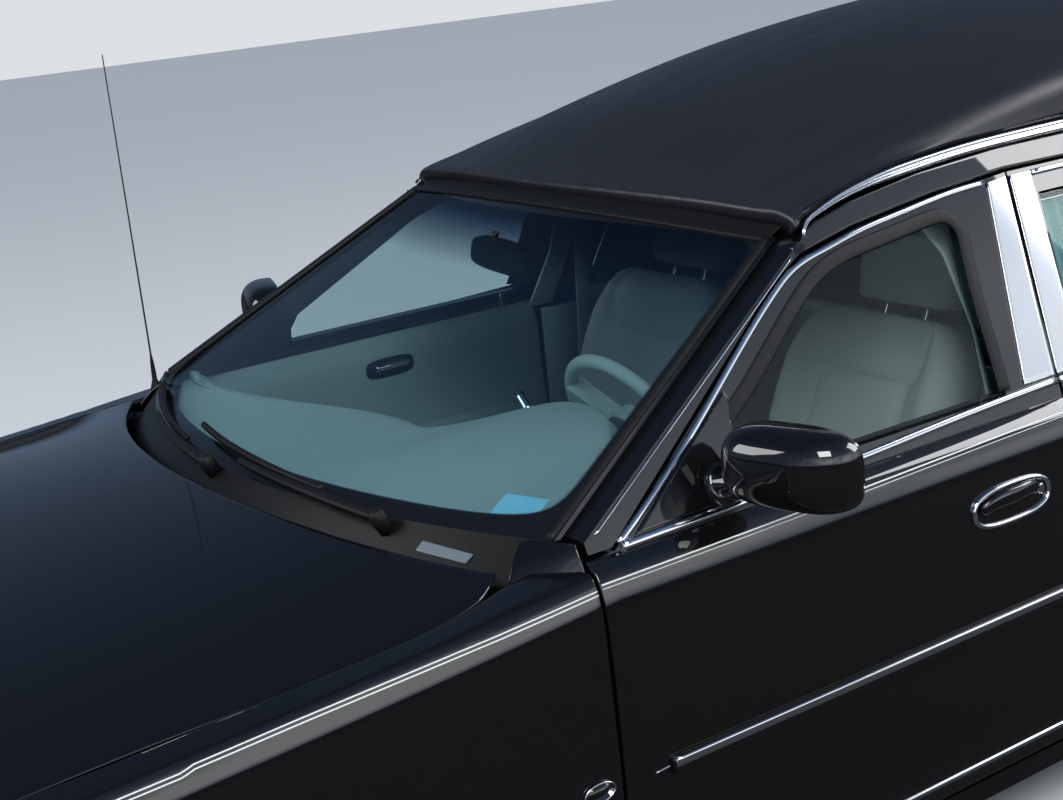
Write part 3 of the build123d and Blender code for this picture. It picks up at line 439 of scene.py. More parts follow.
def make(name, points, faces, looks, body=None, slots=None):
    """A mesh object from points and faces, riding on a moving body or on the shell."""
    mesh = bpy.data.meshes.new(name)
    mesh.from_pydata(np.asarray(points, float).reshape(-1, 3).tolist(), [],
                     [list(f) for f in faces])
    mesh.polygons.foreach_set("use_smooth", np.full(len(mesh.polygons), True))
    for look in (looks if isinstance(looks, (list, tuple)) else [looks]):
        mesh.materials.append(LOOKS[look])
    if slots is not None:
        mesh.polygons.foreach_set("material_index", np.asarray(slots, np.int32))
    mesh.update()
    made = bpy.data.objects.new(name, mesh)
    bpy.context.scene.collection.objects.link(made)
    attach(made, body or "body_shell")
    return made


def across_corner(points, faces):
    """Direction that each face looks in, from its first three corners, and their middle."""
    p = points.reshape(-1, 3)[faces[:, :3]]
    return np.cross(p[:, 1] - p[:, 0], p[:, 2] - p[:, 0]), p.mean(axis=1)


def looks_inward(points, faces):
    """Whether the faces, taken together, look towards the middle of the points."""
    normal, place = across_corner(points, faces)
    return (normal * (place - points.reshape(-1, 3).mean(axis=0))).sum() < 0


def capped(rows, columns):
    """Squares of a stack of closed rings, and one face on each end."""
    sides = [tuple(f) for f in cells(rows, columns, turn_columns=True)]
    return sides + [tuple(range(columns))[::-1], tuple(range((rows - 1) * columns, rows * columns))]


def closed_body(name, points, look, body=None):
    """Mesh of a stack of closed rings with its ends shut, its faces turned outwards."""
    rows, columns = points.shape[:2]
    faces = capped(rows, columns)
    if looks_inward(points, cells(rows, columns, turn_columns=True)):
        faces = [f[::-1] for f in faces]
    return make(name, points, faces, look, body)


print("a ring of 4 by 3 has", len(cells(4, 3, turn_columns=True)), "squares")

# %% [markdown]
# ## Strips and tubes
# Trim strips are rolled: one small section runs the whole length. Blender can bevel a
# curve with a profile, but its twist is hard to hold on a leaning body side. Here the
# section is told which way is out at each point, so that it never rolls over.


# %% Strips and tubes
def tube(name, path, section, look, out=(0, 0, 1), body=None, closed=False):
    """A section, in (across, out) pairs, carried along a path that keeps to one side.

    A point is the path's, plus its first number across the path and its second outwards.
    """
    path = np.asarray(path, float)
    ahead = unit(np.gradient(path, axis=0)) if not closed else unit(
        np.roll(path, -1, 0) - np.roll(path, 1, 0))
    out = np.broadcast_to(np.asarray(out, float), path.shape)
    out = unit(out - ahead * (out * ahead).sum(axis=1, keepdims=True))
    across = np.cross(out, ahead)
    section = np.asarray(section, float)
    if section.ndim == 2:
        section = np.broadcast_to(section, (len(path), *section.shape))
    points = path[:, None] + across[:, None] * section[..., :1] + out[:, None] * section[..., 1:]
    n, m = points.shape[:2]
    faces = list(cells(n, m, turn_rows=True, turn_columns=True)) if closed else capped(n, m)
    area = np.cross(section[0], np.roll(section[0], -1, 0)).sum()
    if area < 0:
        faces = [f[::-1] for f in faces]
    return make(name, points, faces, look, body)


def dome(width, height, base=0.0015):
    """Section of a half-round strip that stands on a surface, its foot sunk a little.

    Half the width times the cosine of an angle, and the height times its sine to 0.7.
    """
    a = np.linspace(0, np.pi, 9)
    top = np.stack([np.cos(a) * width / 2, np.sin(a) ** 0.7 * height], axis=1)
    return np.concatenate([top, [[-width / 2, -base], [width / 2, -base]]])


def plate(width, height, base=0.0015):
    """Section of a flat strip whose shoulders are cut off by a fifth of its height."""
    w, r = width / 2, height * 0.2
    return np.array([(w, -base), (w, height - r), (w - r, height), (-w + r, height),
                     (-w, height - r), (-w, -base)])


def ring(radius, steps=16, squash_by=1.0):
    """Round section, or an oval one: cosine and sine times the radius."""
    a = np.linspace(0, 2 * np.pi, steps, endpoint=False)
    return np.stack([np.cos(a) * radius, np.sin(a) * radius * squash_by], axis=1)


print("a half-round section has", len(dome(0.01, 0.003)), "points")

# %% [markdown]
# ## Sheets with rolled edges
# A real panel's edge is folded over, which draws a bright line round each door and lid.
# Solidify and Bevel modifiers would do for flat sheets. This helper builds the roll
# itself, so that its radius stays the same on a curved one.


# %% Sheets with rolled edges
def slopes(grid):
    """Outward direction at each point of a grid, from its neighbours."""
    return unit(np.cross(np.gradient(grid, axis=0), np.gradient(grid, axis=1)))


def border(grid):
    """The grid's outer points, in order all round."""
    return np.concatenate([grid[0, :-1], grid[:-1, -1], grid[-1, :0:-1], grid[:0:-1, 0]])


def shell(name, grid, depth, roll, looks, body=None, up=None, steps=4):
    """A sheet of some depth whose edges are rolled over, the grid being its outer face.

    The rim is a quarter circle of the roll's radius, then a straight side, and the
    inside is the outside moved down by the depth.
    """
    rows, columns = grid.shape[:2]
    normal = slopes(grid)
    if up is not None and (normal * up).sum() < 0:
        normal = -normal
    inner = grid.copy()
    inner[0], inner[-1] = grid[1], grid[-2]
    inner[:, 0], inner[:, -1] = inner[:, 1], inner[:, -2]
    edge, edge_normal = border(grid), border(normal)
    towards = border(inner) - edge
    towards = unit(towards - edge_normal * (towards * edge_normal).sum(axis=1, keepdims=True))
    count = len(edge)
    a = np.linspace(0, np.pi / 2, steps + 1)[1:, None, None]
    middle = edge + roll * towards - roll * edge_normal
    rims = middle + roll * (edge_normal * np.cos(a) - towards * np.sin(a))
    slots = np.arange(count)
    at = np.concatenate([
        slots[:columns - 1], (slots[:rows - 1] + 1) * columns - 1,
        rows * columns - 1 - slots[:columns - 1], (rows - 1 - slots[:rows - 1]) * columns])
    outer = grid.copy().reshape(-1, 3)
    outer[at] = edge + roll * towards
    inside = (grid - depth * normal).reshape(-1, 3)
    inside[at] = edge - depth * edge_normal
    total = rows * columns
    points = np.concatenate([outer, rims.reshape(-1, 3), inside])
    faces = [cells(rows, columns)]
    last = at
    for step in range(steps):
        here = total + step * count + slots
        faces.append(np.stack([last, here, np.roll(here, -1), np.roll(last, -1)], axis=1))
        last = here
    base = total + steps * count
    faces.append(np.stack([last, at + base, np.roll(at, -1) + base, np.roll(last, -1)], axis=1))
    faces.append(cells(rows, columns, start=base, flip=True))
    every = np.concatenate(faces)
    looking, _ = across_corner(outer, faces[0])
    if (looking * normal.reshape(-1, 3)[faces[0][:, 0]]).sum() < 0:
        every = every[:, ::-1]
    use = np.zeros(len(every), np.int32)
    if isinstance(looks, (list, tuple)):
        use[-len(faces[-1]):] = 1
    return make(name, points, every, looks, body, slots=use)


print("shells ready")

# %% [markdown]
# ## Flat nets
# Small panels and cloths need only a net of straight lines, between four corners or
# between two paths. A plane could be dragged into place by its corners, but then their
# places would be written down nowhere.


# %% Flat nets
def quad(a, b, c, d, rows, columns):
    """Grid between four corners: lines from side a-d to side b-c, evenly divided."""
    a, b, c, d = (np.asarray(p, float) for p in (a, b, c, d))
    u, v = np.linspace(0, 1, rows)[:, None, None], np.linspace(0, 1, columns)[None, :, None]
    return (a * (1 - u) + d * u) * (1 - v) + (b * (1 - u) + c * u) * v


def between(first, second, rows):
    """Grid of straight lines from each point of one path to the other path's."""
    u = np.linspace(0, 1, rows)[:, None, None]
    return np.asarray(first)[None] * (1 - u) + np.asarray(second)[None] * u


print("a net of 3 by 4 points is", quad((0, 0), (1, 0), (1, 1), (0, 1), 3, 4).shape)

# %% [markdown]
# ## Left and right
# The two sides of the car mirror each other. A negative scale would leave faces inside
# out, so the right-hand mesh is made again, its side distances turned over, and its
# faces flipped back.


# %% Left and right
def flip_over(made):
    """Turns a left-hand piece into its right-hand image, faces still outwards."""
    mesh = made.data
    spots = np.zeros(len(mesh.vertices) * 3)
    mesh.vertices.foreach_get("co", spots)
    spots = spots.reshape(-1, 3) * (1, -1, 1)
    mesh.vertices.foreach_set("co", spots.ravel())
    mesh.flip_normals()
    mesh.update()


def two_sides(maker, name, *rest, body=None, **more):
    """The left-hand piece and its mirror image on the right, each on its side's body."""
    pieces = []
    for side, sign in (("left", 1), ("right", -1)):
        on = f"{body}_{side}" if body else None
        made = maker(f"{name}_{side}", *rest, body=on, **more)
        if sign < 0:
            flip_over(made)
        pieces.append(made)
    return pieces


print("helpers ready")

# %% [markdown]
# ## Body shape
# The upper side leans in like a flat board, the tail leans forward a little, and below
# the belt the side bows out. Trim could be snapped to the CAD mesh point by point. Here
# the same sizes are formulas, so that a line given as x and z lands on the skin.


# %% Body shape
BELT_Y, BELT_Z = 0.886, 0.942
LEAN = 0.2 / 0.42
LEAN_OUT = unit(np.array([0.0, 1.0, LEAN]))


def skin_y(z):
    """Half width of the upper side at a height."""
    return BELT_Y - LEAN * (np.asarray(z, float) - BELT_Z)


def tail_x(z):
    """Where the leaning tail stands at a height: a straight line up and forwards."""
    return -3.15 + (np.asarray(z, float) - BELT_Z) * 0.175 / 0.658


def on_skin(points, proud=0.0):
    """Points given as x and z, put on the upper side, a little proud of it."""
    p = np.asarray(points, float)
    return np.stack([p[:, 0], skin_y(p[:, 1]) + proud * LEAN_OUT[1], p[:, 1] + proud * LEAN_OUT[2]],
                    axis=1)


SIDE = np.array([
    (0.905, 0.214), (0.918, 0.252), (0.928, 0.29), (0.9365, 0.39), (0.9415, 0.49),
    (0.943, 0.6), (0.94, 0.72), (0.9345, 0.82), (0.929, 0.868), (0.9205, 0.9),
    (0.906, 0.925), (0.8875, 0.9405)])
SIDE_LINE = flow(SIDE, 260, SIDE[:, 1])


def side_y(z):
    """Half width of the lower side at a height, read from its smooth line."""
    return np.interp(z, SIDE_LINE[:, 1], SIDE_LINE[:, 0])


def on_side(points, proud=0.0):
    """Points given as x and z, put on the lower side of the doors, and the way out.

    The way out is square to the section's slope, taken 2 mm above and below each point.
    """
    p = np.asarray(points, float)
    y = side_y(p[:, 1])
    rate = (side_y(p[:, 1] + 0.002) - side_y(p[:, 1] - 0.002)) / 0.004
    out = unit(np.stack([np.zeros_like(y), np.ones_like(y), -rate], axis=1))
    return np.stack([p[:, 0], y, p[:, 1]], axis=1) + proud * out, out


print("half width at the belt", round(float(skin_y(BELT_Z)), 3), "m")

# %% [markdown]
# ## Raised roof
# Padded vinyl covers the cabin and the load deck, fuller in the middle than along its
# flanks. A smooth cage could be pushed about until it looked right. Cross sections
# through measured heights, joined by smooth curves, pass through them exactly, and the
# rim is rolled under towards the windscreen.


# %% Raised roof
ROOF = np.array([
    # x, height at the flank, at the shoulder, at the centre
    (0.96, 1.352, 1.362, 1.378), (0.836, 1.378, 1.388, 1.427), (0.7, 1.406, 1.424, 1.49),
    (0.44, 1.445, 1.482, 1.573), (0.1, 1.495, 1.542, 1.641), (-0.4, 1.53, 1.586, 1.693),
    (-1.2, 1.545, 1.61, 1.722), (-2.2, 1.545, 1.61, 1.72), (-3.06, 1.518, 1.575, 1.68)])
GUTTER = np.array([(0.836, 1.352), (0.82, 1.372), (0.666, 1.408), (0.378, 1.431),
                   (0.04, 1.437), (-3.01, 1.437)])
ROOF_TABLE_X = np.linspace(-3.06, 0.96, 400)


def roof_front_x(y):
    """Front edge of the roof, a bow 82 mm deep at 0.7 m from the middle."""
    return 0.914 - 0.082 * (y / 0.7) ** 2


def roof_section(x):
    """Half section of the roof at each x: nine points from the centre to the gutter.

    Their heights fall from the centre's to the shoulder's by growing shares of the
    difference, and from there past the flank to the gutter.
    """
    flank, shoulder, centre = (
        flow(ROOF[::-1, c:c + 1], x, ROOF[::-1, 0])[:, 0] for c in (1, 2, 3))
    gutter = np.minimum(np.interp(x, GUTTER[::-1, 0], GUTTER[::-1, 1]), flank - 0.012)
    y = [0.0, 0.18, 0.36, 0.48, 0.572, 0.62, 0.643, skin_y(gutter) * 0.7 + 0.3 * 0.643,
         skin_y(gutter) + 0.002]
    fall = centre - shoulder
    z = [centre, centre - fall * 0.095, centre - fall * 0.385, centre - fall * 0.69, shoulder,
         shoulder * 0.56 + flank * 0.44, flank + 0.002, flank * 0.62 + gutter * 0.38, gutter]
    return np.stack([np.stack([v + 0 * centre, w], axis=1) for v, w in zip(y, z)])


def roof_grid(rows, columns):
    """Grid of the roof, from its bowed front edge to the tail and from side to side.

    Each column is one place on the section. Its rows lie between the front edge and the
    tail, closer together at the front, and read side distance and height at their x.
    """
    across = roof_section(ROOF_TABLE_X)
    fine = flow(across, (columns + 1) // 2)
    full = np.concatenate([fine[:0:-1] * (-1, 1), fine])
    near_tail = 12
    rear = tail_x(full[:, near_tail, 1]) + 0.002
    share = np.linspace(0, 1, rows)[:, None] ** 1.15
    x = roof_front_x(full[:, 0, 0]) * (1 - share) + rear * share
    y, z = (np.stack([np.interp(x[:, c], ROOF_TABLE_X, column[:, axis])
                      for c, column in enumerate(full)], axis=1) for axis in (0, 1))
    return np.stack([x, y, z], axis=2)


vinyl_grid = roof_grid(124, 85)
raised_roof = shell("raised_roof", vinyl_grid, 0.034, 0.011, ["vinyl", TRIM],
                    up=UP, steps=6)
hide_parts("roof")
print("raised roof", len(raised_roof.data.polygons), "faces")

# %% [markdown]
# ## Hood
# The hood is a pressed lid, bowed both ways, with a curved rear edge below the
# windscreen. It could be a bevelled box, but its edges have to follow the fenders all
# round. So the outline comes first, and the height is worked out from it.


# %% Hood
HOOD = np.array([
    # x, half width, height at the side, height at the centre
    (1.6, 0.838, 0.934, 0.992), (1.78, 0.862, 0.901, 0.984), (2.135, 0.862, 0.881, 0.958),
    (2.7, 0.84, 0.842, 0.905), (3.16, 0.77, 0.8, 0.838)])
HOOD_SIDE = np.array([(1.628, 0.798), (1.676, 0.834), (1.757, 0.85), (2.32, 0.846),
                      (2.75, 0.82), (3.06, 0.742)])


HOOD_X = np.linspace(1.6, 3.18, 300)
HOOD_FINE = flow(HOOD[:, 1:], HOOD_X, HOOD[:, 0])


def hood_height(x, y):
    """Height of the hood: the centre's, less a drop that grows with the distance squared."""
    half, edge, centre = (
        np.interp(x, HOOD_X, HOOD_FINE[:, c]) for c in range(3))
    return centre - (centre - edge) * (y / half) ** 2


def hood_grid(rows, columns):
    """Grid between the curved rear edge and the nose, each row as wide as the side line."""
    side = flow(HOOD_SIDE, 200, lengths(HOOD_SIDE))
    v = np.linspace(-1, 1, columns)[None, :]
    u = np.linspace(0, 1, rows)[:, None]
    rear = 1.835 - 0.207 * v ** 2
    front = 3.166 - 0.106 * np.abs(v) ** 2.4
    x = rear * (1 - u) + front * u
    side_x = 1.628 * (1 - u) + 3.06 * u
    y = v * np.interp(side_x, side[:, 0], side[:, 1])
    return np.stack([x, np.broadcast_to(y, x.shape), hood_height(x, y)], axis=2)


hood = shell("hood_panel", hood_grid(110, 81), 0.022, 0.004, PAINT, body="hood",
             up=UP)
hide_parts("hood")
print("hood", len(hood.data.polygons), "faces")

# %% [markdown]
# ## Draping
# Fenders and quarters are stampings with a wheel arch cut from the lower edge. Cutting
# the arch with a Boolean leaves long thin faces at its rim. Draping a sheet instead, from
# an upper line down to an outline that already runs round the arch, bends the grid
# itself, and the rim can then be rolled like any other edge.


# %% Draping
ARCH_R = 0.392
SILL_Z = 0.2145
OUT_LEFT = np.array([0, 1.0, 0.4])


def lines(*parts):
    """One outline from several runs of points, each less its last point but the last."""
    return np.concatenate([*[p[:-1] for p in parts[:-1]], parts[-1]])


def arch(axle_x, from_deg, to_deg, count):
    """Points on a wheel arch: the axle's place, plus its radius times cosine and sine."""
    a = np.radians(np.linspace(from_deg, to_deg, count))
    return np.stack([axle_x + ARCH_R * np.cos(a), TYRE_R + ARCH_R * np.sin(a)], axis=1)


def sampled(table, xs, x, t):
    """Value of a table at places along the car and down the section.

    It is the mean of the four entries round the place, each weighed by its nearness.
    """
    i = np.clip((x - xs[0]) / (xs[1] - xs[0]), 0, len(xs) - 1.001)
    j = np.clip(t, 0, 1) * (table.shape[1] - 1.001)
    a, b = i.astype(int), j.astype(int)
    u, v = (i - a)[..., None], (j - b)[..., None]
    return ((table[a, b] * (1 - u) + table[a + 1, b] * u) * (1 - v)
            + (table[a, b + 1] * (1 - u) + table[a + 1, b + 1] * u) * v)


def draped(table, xs, upper_x, low, rows):
    """Grid on a tabled section, from the upper line at t = 0 down to an outline.

    The outline's own t is read where the section first drops below it. The rows share
    out both the way along the car and the way down the section evenly.
    """
    t = np.linspace(0, 1, table.shape[1])
    down = sampled(table, xs, np.broadcast_to(low[:, :1], (len(low), len(t))),
                   np.broadcast_to(t, (len(low), len(t))))[..., 1]
    above = np.clip((down > low[:, 1:]).sum(axis=1), 1, len(t) - 1)
    here = np.arange(len(low))
    before, after = down[here, above - 1], down[here, above]
    t_low = t[above - 1] + (t[1] - t[0]) * np.clip(
        (before - low[:, 1]) / np.maximum(before - after, 1e-9), 0, 1)
    f = np.linspace(0, 1, rows)[:, None]
    x = upper_x + (low[:, 0] - upper_x) * f
    yz = sampled(table, xs, x, f * t_low)
    return np.concatenate([x[..., None], yz], axis=2)


def within_plan(table, xs, plan):
    """A table whose side distances are cut down to the plan's at each x."""
    limit = np.interp(xs, plan[:, 0], plan[:, 1])[:, None]
    return np.stack([np.minimum(table[..., 0], limit), table[..., 1]], axis=-1)


print("the arch's top is at", round(TYRE_R + ARCH_R, 3), "m")

# %% [markdown]
# ## Fenders
# Each front fender has a flat top beside the hood, a crisp shoulder, a bowed side and a
# nose that turns in towards the headlamps. Sculpting would soften the shoulder. A table
# of sections keeps it crisp, as it names the shoulder's height at every x.


# %% Fenders
FENDER = np.array([
    # x, side y, shoulder z, top z
    (1.514, 0.934, 0.926, 0.938), (1.757, 0.935, 0.905, 0.912), (2.135, 0.936, 0.878, 0.892),
    (2.7, 0.926, 0.838, 0.852), (3.0, 0.888, 0.802, 0.818), (3.11, 0.86, 0.786, 0.802)])
FENDER_EDGE = np.array([
    (1.514, 0.826), (1.6, 0.822), (1.64, 0.822), (1.676, 0.838), (1.757, 0.856),
    (2.32, 0.852), (2.75, 0.826), (3.06, 0.749), (3.11, 0.72)])
NOSE_PLAN = np.array([
    (1.4, 0.946), (2.4, 0.946), (2.6, 0.94), (2.78, 0.924), (2.98, 0.861),
    (3.07, 0.776), (3.105, 0.656), (3.12, 0.6)])
fender_xs = np.linspace(1.514, 3.11, 240)


def fender_table(xs):
    """Section of the fender at each x, from the hood's edge down to the sill.

    Points at set distances in from the side and down from the shoulder are joined by
    one smooth curve, and the nose's plan then cuts its width down.
    """
    side, shoulder, top = flow(FENDER[:, 1:], xs, FENDER[:, 0]).T
    inner = np.interp(xs, FENDER_EDGE[:, 0], FENDER_EDGE[:, 1])
    inner = np.convolve(np.pad(inner, 6, "edge"), np.ones(13) / 13, "valid")
    fall = shoulder - 0.926
    turn = side - 0.036
    slant = (shoulder - top) / (side - 0.028 - 0.76)
    flat = [(y, top + (y - 0.76) * slant) for y in (inner, (inner + turn) / 2, turn)]
    round_off = [(side - 0.028, shoulder - 0.0007), (side - 0.0165, shoulder - 0.0175),
                 (side - 0.008, shoulder - 0.04), (side - 0.0018, shoulder - 0.075),
                 (side, 0.828 + fall), (side + 0.0045, 0.72 + 0.6 * fall)]
    low = [(side + d, np.full_like(side, z)) for d, z in (
        (0.009, 0.58), (0.0075, 0.47), (0.0025, 0.38), (-0.006, 0.29), (-0.0165, 0.252),
        (-0.029, 0.214))]
    net = np.stack([np.stack(p, axis=1) for p in flat + round_off + low])
    table = flow(net, 200, lengths(net[:, len(xs) // 3]))
    return within_plan(table.transpose(1, 0, 2), xs, NOSE_PLAN)


fender_low = lines(
    np.linspace((1.514, SILL_Z), (1.743, SILL_Z), 14),
    np.linspace((1.743, SILL_Z), (1.743, TYRE_R), 9), arch(FRONT_AXLE_X, 180, 40.85, 70),
    np.linspace((2.4316, 0.6003), (2.955, 0.6003), 30),
    np.linspace((2.955, 0.6003), (2.96, 0.768), 10),
    np.linspace((2.96, 0.768), (3.105, 0.768), 10))
fender_upper = np.interp(
    np.arange(len(fender_low)), np.cumsum([0, 13, 8, 17, 17, 35, 29, 9, 9]),
    [1.514, 1.69, 1.75, 1.9, 2.06, 2.41, 2.88, 2.95, 3.1])
fender_grid = draped(fender_table(fender_xs), fender_xs, fender_upper, fender_low, 60)
for wing in two_sides(shell, "fender", fender_grid, 0.016, 0.004, PAINT, up=OUT_LEFT):
    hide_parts("fenders")
print("fenders", fender_grid.shape[0] * fender_grid.shape[1], "points each")

# %% [markdown]
# ## Quarters and doors
# Behind the rear door one long panel runs to the tail, round the rear wheel. Each door
# has a thin skin, folded over at its edges. All of them lie on the same side section,
# about a millimetre proud of the CAD solids, so that the two never flicker through.


# %% Quarters and doors
SKIN_PROUD = 0.0012
TAIL_PLAN = np.array([(-3.01, 0.88), (-2.9, 0.908), (-2.75, 0.931), (-2.55, 0.942),
                      (-2.3, 0.9455), (-0.5, 0.9455)])
quarter_xs = np.linspace(-3.0, -0.645, 240)


def quarter_table(xs):
    """Side section repeated at each x, its width cut down to the tail's plan."""
    z = np.concatenate([np.linspace(0.9405, 0.86, 60), np.linspace(0.858, 0.214, 90)])
    section = np.broadcast_to(np.stack([side_y(z), z], axis=1), (len(xs), len(z), 2))
    return within_plan(section, xs, TAIL_PLAN) + (SKIN_PROUD, 0)


quarter_low = lines(
    np.linspace((-0.645, SILL_Z), (-1.163, SILL_Z), 24),
    np.linspace((-1.163, SILL_Z), (-1.163, TYRE_R), 9), arch(REAR_AXLE_X, 0, 180, 80),
    np.linspace((-1.947, TYRE_R), (-1.947, SILL_Z), 9),
    np.linspace((-1.947, SILL_Z), (-2.3, SILL_Z), 20),
    np.linspace((-2.3, SILL_Z), (-3.0, 0.3005), 34))
quarter_upper = np.interp(
    np.arange(len(quarter_low)), np.cumsum([0, 23, 8, 20, 39, 20, 8, 19, 33]),
    [-0.645, -1.05, -1.13, -1.3, -1.81, -1.98, -2.06, -2.35, -3.0])
quarter_grid = draped(quarter_table(quarter_xs), quarter_xs, quarter_upper, quarter_low, 46)
two_sides(shell, "quarter_skin", quarter_grid, 0.004, 0.0035, PAINT, up=OUT_LEFT)


def door_skin_grid(x_front, x_rear):
    """Grid on the side section, a millimetre short of the door's edges."""
    x = np.linspace(x_front + 0.001, x_rear - 0.001, 36)
    z = np.concatenate([np.linspace(0.9415, 0.86, 32), np.linspace(0.857, 0.213, 46)])
    gx, gz = np.meshgrid(x, z)
    points, _ = on_side(np.stack([gx.ravel(), gz.ravel()], axis=1), SKIN_PROUD)
    return points.reshape(*gx.shape, 3)


for end, x_front, x_rear in (("front", 1.508, 0.345), ("rear", 0.339, -0.64)):
    two_sides(shell, f"{end}_door_skin", door_skin_grid(x_front, x_rear), 0.004, 0.0035,
              PAINT, body=f"{end}_door", up=OUT_LEFT)
print("lower body laid on")

# %% [markdown]
# ## Door frames and belt
# Rolled bright strips follow the tops of the doors and the belt below the glass, and
# two polished plates cover the pillars between the doors. Measured points on each line
# are joined by a smooth curve, laid on the leaning side, and given a half-round section.


# %% Door frames and belt
def skin_strip(name, points, width, height, look, body=None, proud=0.0, count=60):
    """A strip on both upper sides, along a line given as x and z."""
    path = on_skin(even(flow(points, 200, lengths(np.asarray(points))), count), proud)
    return two_sides(tube, name, path, dome(width, height), look, LEAN_OUT, body=body)


def side_strip(name, points, width, height, look, body=None, count=50, kind=dome):
    """A strip on both lower sides, along a line given as x and z."""
    path, out = on_side(even(np.asarray(points, float), count), 0.001)
    return two_sides(tube, name, path, kind(width, height), look, out, body=body)


def body_y(z):
    """Half width of the body at any height below the gutter, shoulder included."""
    z = np.asarray(z, float)
    return np.where(z > 0.9405, skin_y(z), side_y(z))


def patch(corners, rows, columns, proud):
    """Flat panel on the upper side between four corners given as x and z."""
    flat = quad(*corners, rows, columns)
    return on_skin(flat.reshape(-1, 2), proud).reshape(rows, columns, 3)


DOOR_EDGE = np.array([
    (1.44, 0.952), (1.35, 1.0), (1.118, 1.1465), (0.944, 1.256), (0.902, 1.2775),
    (0.858, 1.292), (0.8, 1.303), (0.714, 1.3185), (0.579, 1.334), (0.432, 1.348),
    (0.341, 1.3515)])
skin_strip("door_frame_trim", DOOR_EDGE, 0.013, 0.0045, BRIGHT, "front_door", 0.0005, 90)
INNER_EDGE = np.array([
    (1.244, 1.01), (1.23, 1.0235), (1.104, 1.1045), (0.9, 1.2345), (0.862, 1.2555),
    (0.792, 1.281), (0.668, 1.298), (0.52, 1.3125), (0.47, 1.308), (0.446, 1.282),
    (0.45, 1.24), (0.482, 1.02), (0.487, 0.984)])
skin_strip("window_seal", INNER_EDGE, 0.031, 0.003, PLASTIC, "front_door", 0.0, 130)
BELT_TRIM_Z = 0.9735
BELT_LINE = np.array([(1.436, 0.9465), (1.2, 0.95), (0.893, 0.956), (0.643, 0.966),
                      (0.372, 0.973), (0.347, BELT_TRIM_Z)])
skin_strip("belt_trim_front", BELT_LINE, 0.017, 0.007, BRIGHT, "front_door", 0.0005, 60)
BELT_REAR = np.array([(x, BELT_TRIM_Z) for x in (0.338, 0.1, -0.3, -0.638)])
skin_strip("belt_trim_rear", BELT_REAR, 0.017, 0.007, BRIGHT, "rear_door", 0.0005, 40)
BELT_QUARTER = np.array([(x, BELT_TRIM_Z) for x in (-0.645, -1.4, -2.2, -3.0)])
skin_strip("belt_trim_quarter", BELT_QUARTER, 0.017, 0.007, BRIGHT, None, 0.0005, 60)

for end, corners in (
    ("front", ((0.331, 1.35), (0.275, 1.3545), (0.346, 0.984), (0.434, 0.984))),
    ("rear", ((0.262, 1.354), (0.2, 1.354), (0.258, 0.984), (0.337, 0.984))),
):
    two_sides(shell, f"{end}_door_plate", patch(corners, 40, 12, 0.0035), 0.0033, 0.0015,
              BRIGHT, body=f"{end}_door", up=OUT_LEFT)

REAR_EDGE = np.array([(0.196, 1.35), (0.0, 1.3505), (-0.3, 1.3505), (-0.655, 1.3505)])
skin_strip("rear_frame_trim", REAR_EDGE, 0.013, 0.0045, BRIGHT, "rear_door", 0.0005, 40)
print("frames and belt on")

# %% [markdown]
# ## Painted stripes
# A fine double line runs along the shoulder, brushed on by hand with a long soft brush.
# It could be part of the paint's colour, but a texture would blur at this width. A ribbon
# half a millimetre thick, just proud of the lacquer, stays sharp at any distance.


# %% Painted stripes
STRIPE_GAP = -0.0062
STRIPE = np.array([
    (1.506, 0.909), (1.2, 0.911), (0.905, 0.9145), (0.6, 0.919), (0.348, 0.922)])


def stripe(name, points, width, body=None):
    """A painted line on the shoulder, a hair proud of the paint."""
    line = even(np.asarray(points, float), 50)
    y = body_y(line[:, 1])
    rate = (body_y(line[:, 1] + 0.001) - body_y(line[:, 1] - 0.001)) / 0.002
    out = unit(np.stack([np.zeros_like(y), np.ones_like(y), -rate], axis=1))
    path = np.stack([line[:, 0], y, line[:, 1]], axis=1) + out * 0.0012
    return two_sides(tube, name, path, plate(width, 0.0005), "stripe", out, body=body)


for offset, width, word in ((0.0, 0.0026, "upper"), (STRIPE_GAP, 0.0012, "lower")):
    shift = np.array([0, offset])
    stripe(f"front_stripe_{word}", STRIPE + shift, width, "front_door")
    stripe(f"rear_stripe_{word}", np.array([(0.337, 0.9222), (-0.638, 0.9235)]) + shift, width,
           "rear_door")
    stripe(f"quarter_stripe_{word}", np.array([(-0.647, 0.9235), (-2.9, 0.9235)]) + shift, width)


def on_fender(points, proud):
    """Points given as x and z, put on the outer face of the fender, and the way out.

    The side distance is read between the two tabled heights on either side of the point,
    and the way out is square to the line that joins them.
    """
    p = np.asarray(points, float)
    section, here = fender_table(p[:, 0]), np.arange(len(p))
    after = (section[..., 1] > p[:, 1:]).sum(axis=1)
    high, low = section[here, after - 1], section[here, after]
    share = (high[:, 1] - p[:, 1]) / (high[:, 1] - low[:, 1])
    y = high[:, 0] + (low[:, 0] - high[:, 0]) * share
    out = unit(np.stack([0 * y, high[:, 1] - low[:, 1], low[:, 0] - high[:, 0]], axis=1))
    return np.stack([p[:, 0], y, p[:, 1]], axis=1) + proud * out, out


FENDER_STRIPE = np.array([
    (1.517, 0.903), (1.61, 0.896), (1.705, 0.8895), (1.883, 0.88), (2.05, 0.8715),
    (2.145, 0.866), (2.218, 0.862), (2.234, 0.857), (2.317, 0.853), (2.6, 0.836),
    (2.88, 0.812)])
for word, offset in (("upper", 0.0), ("lower", STRIPE_GAP)):
    path, out = on_fender(even(FENDER_STRIPE, 120) + (0, offset), 0.0014)
    two_sides(tube, f"fender_stripe_{word}", path, plate(0.0022, 0.0005), "stripe", out)
print("stripes drawn")

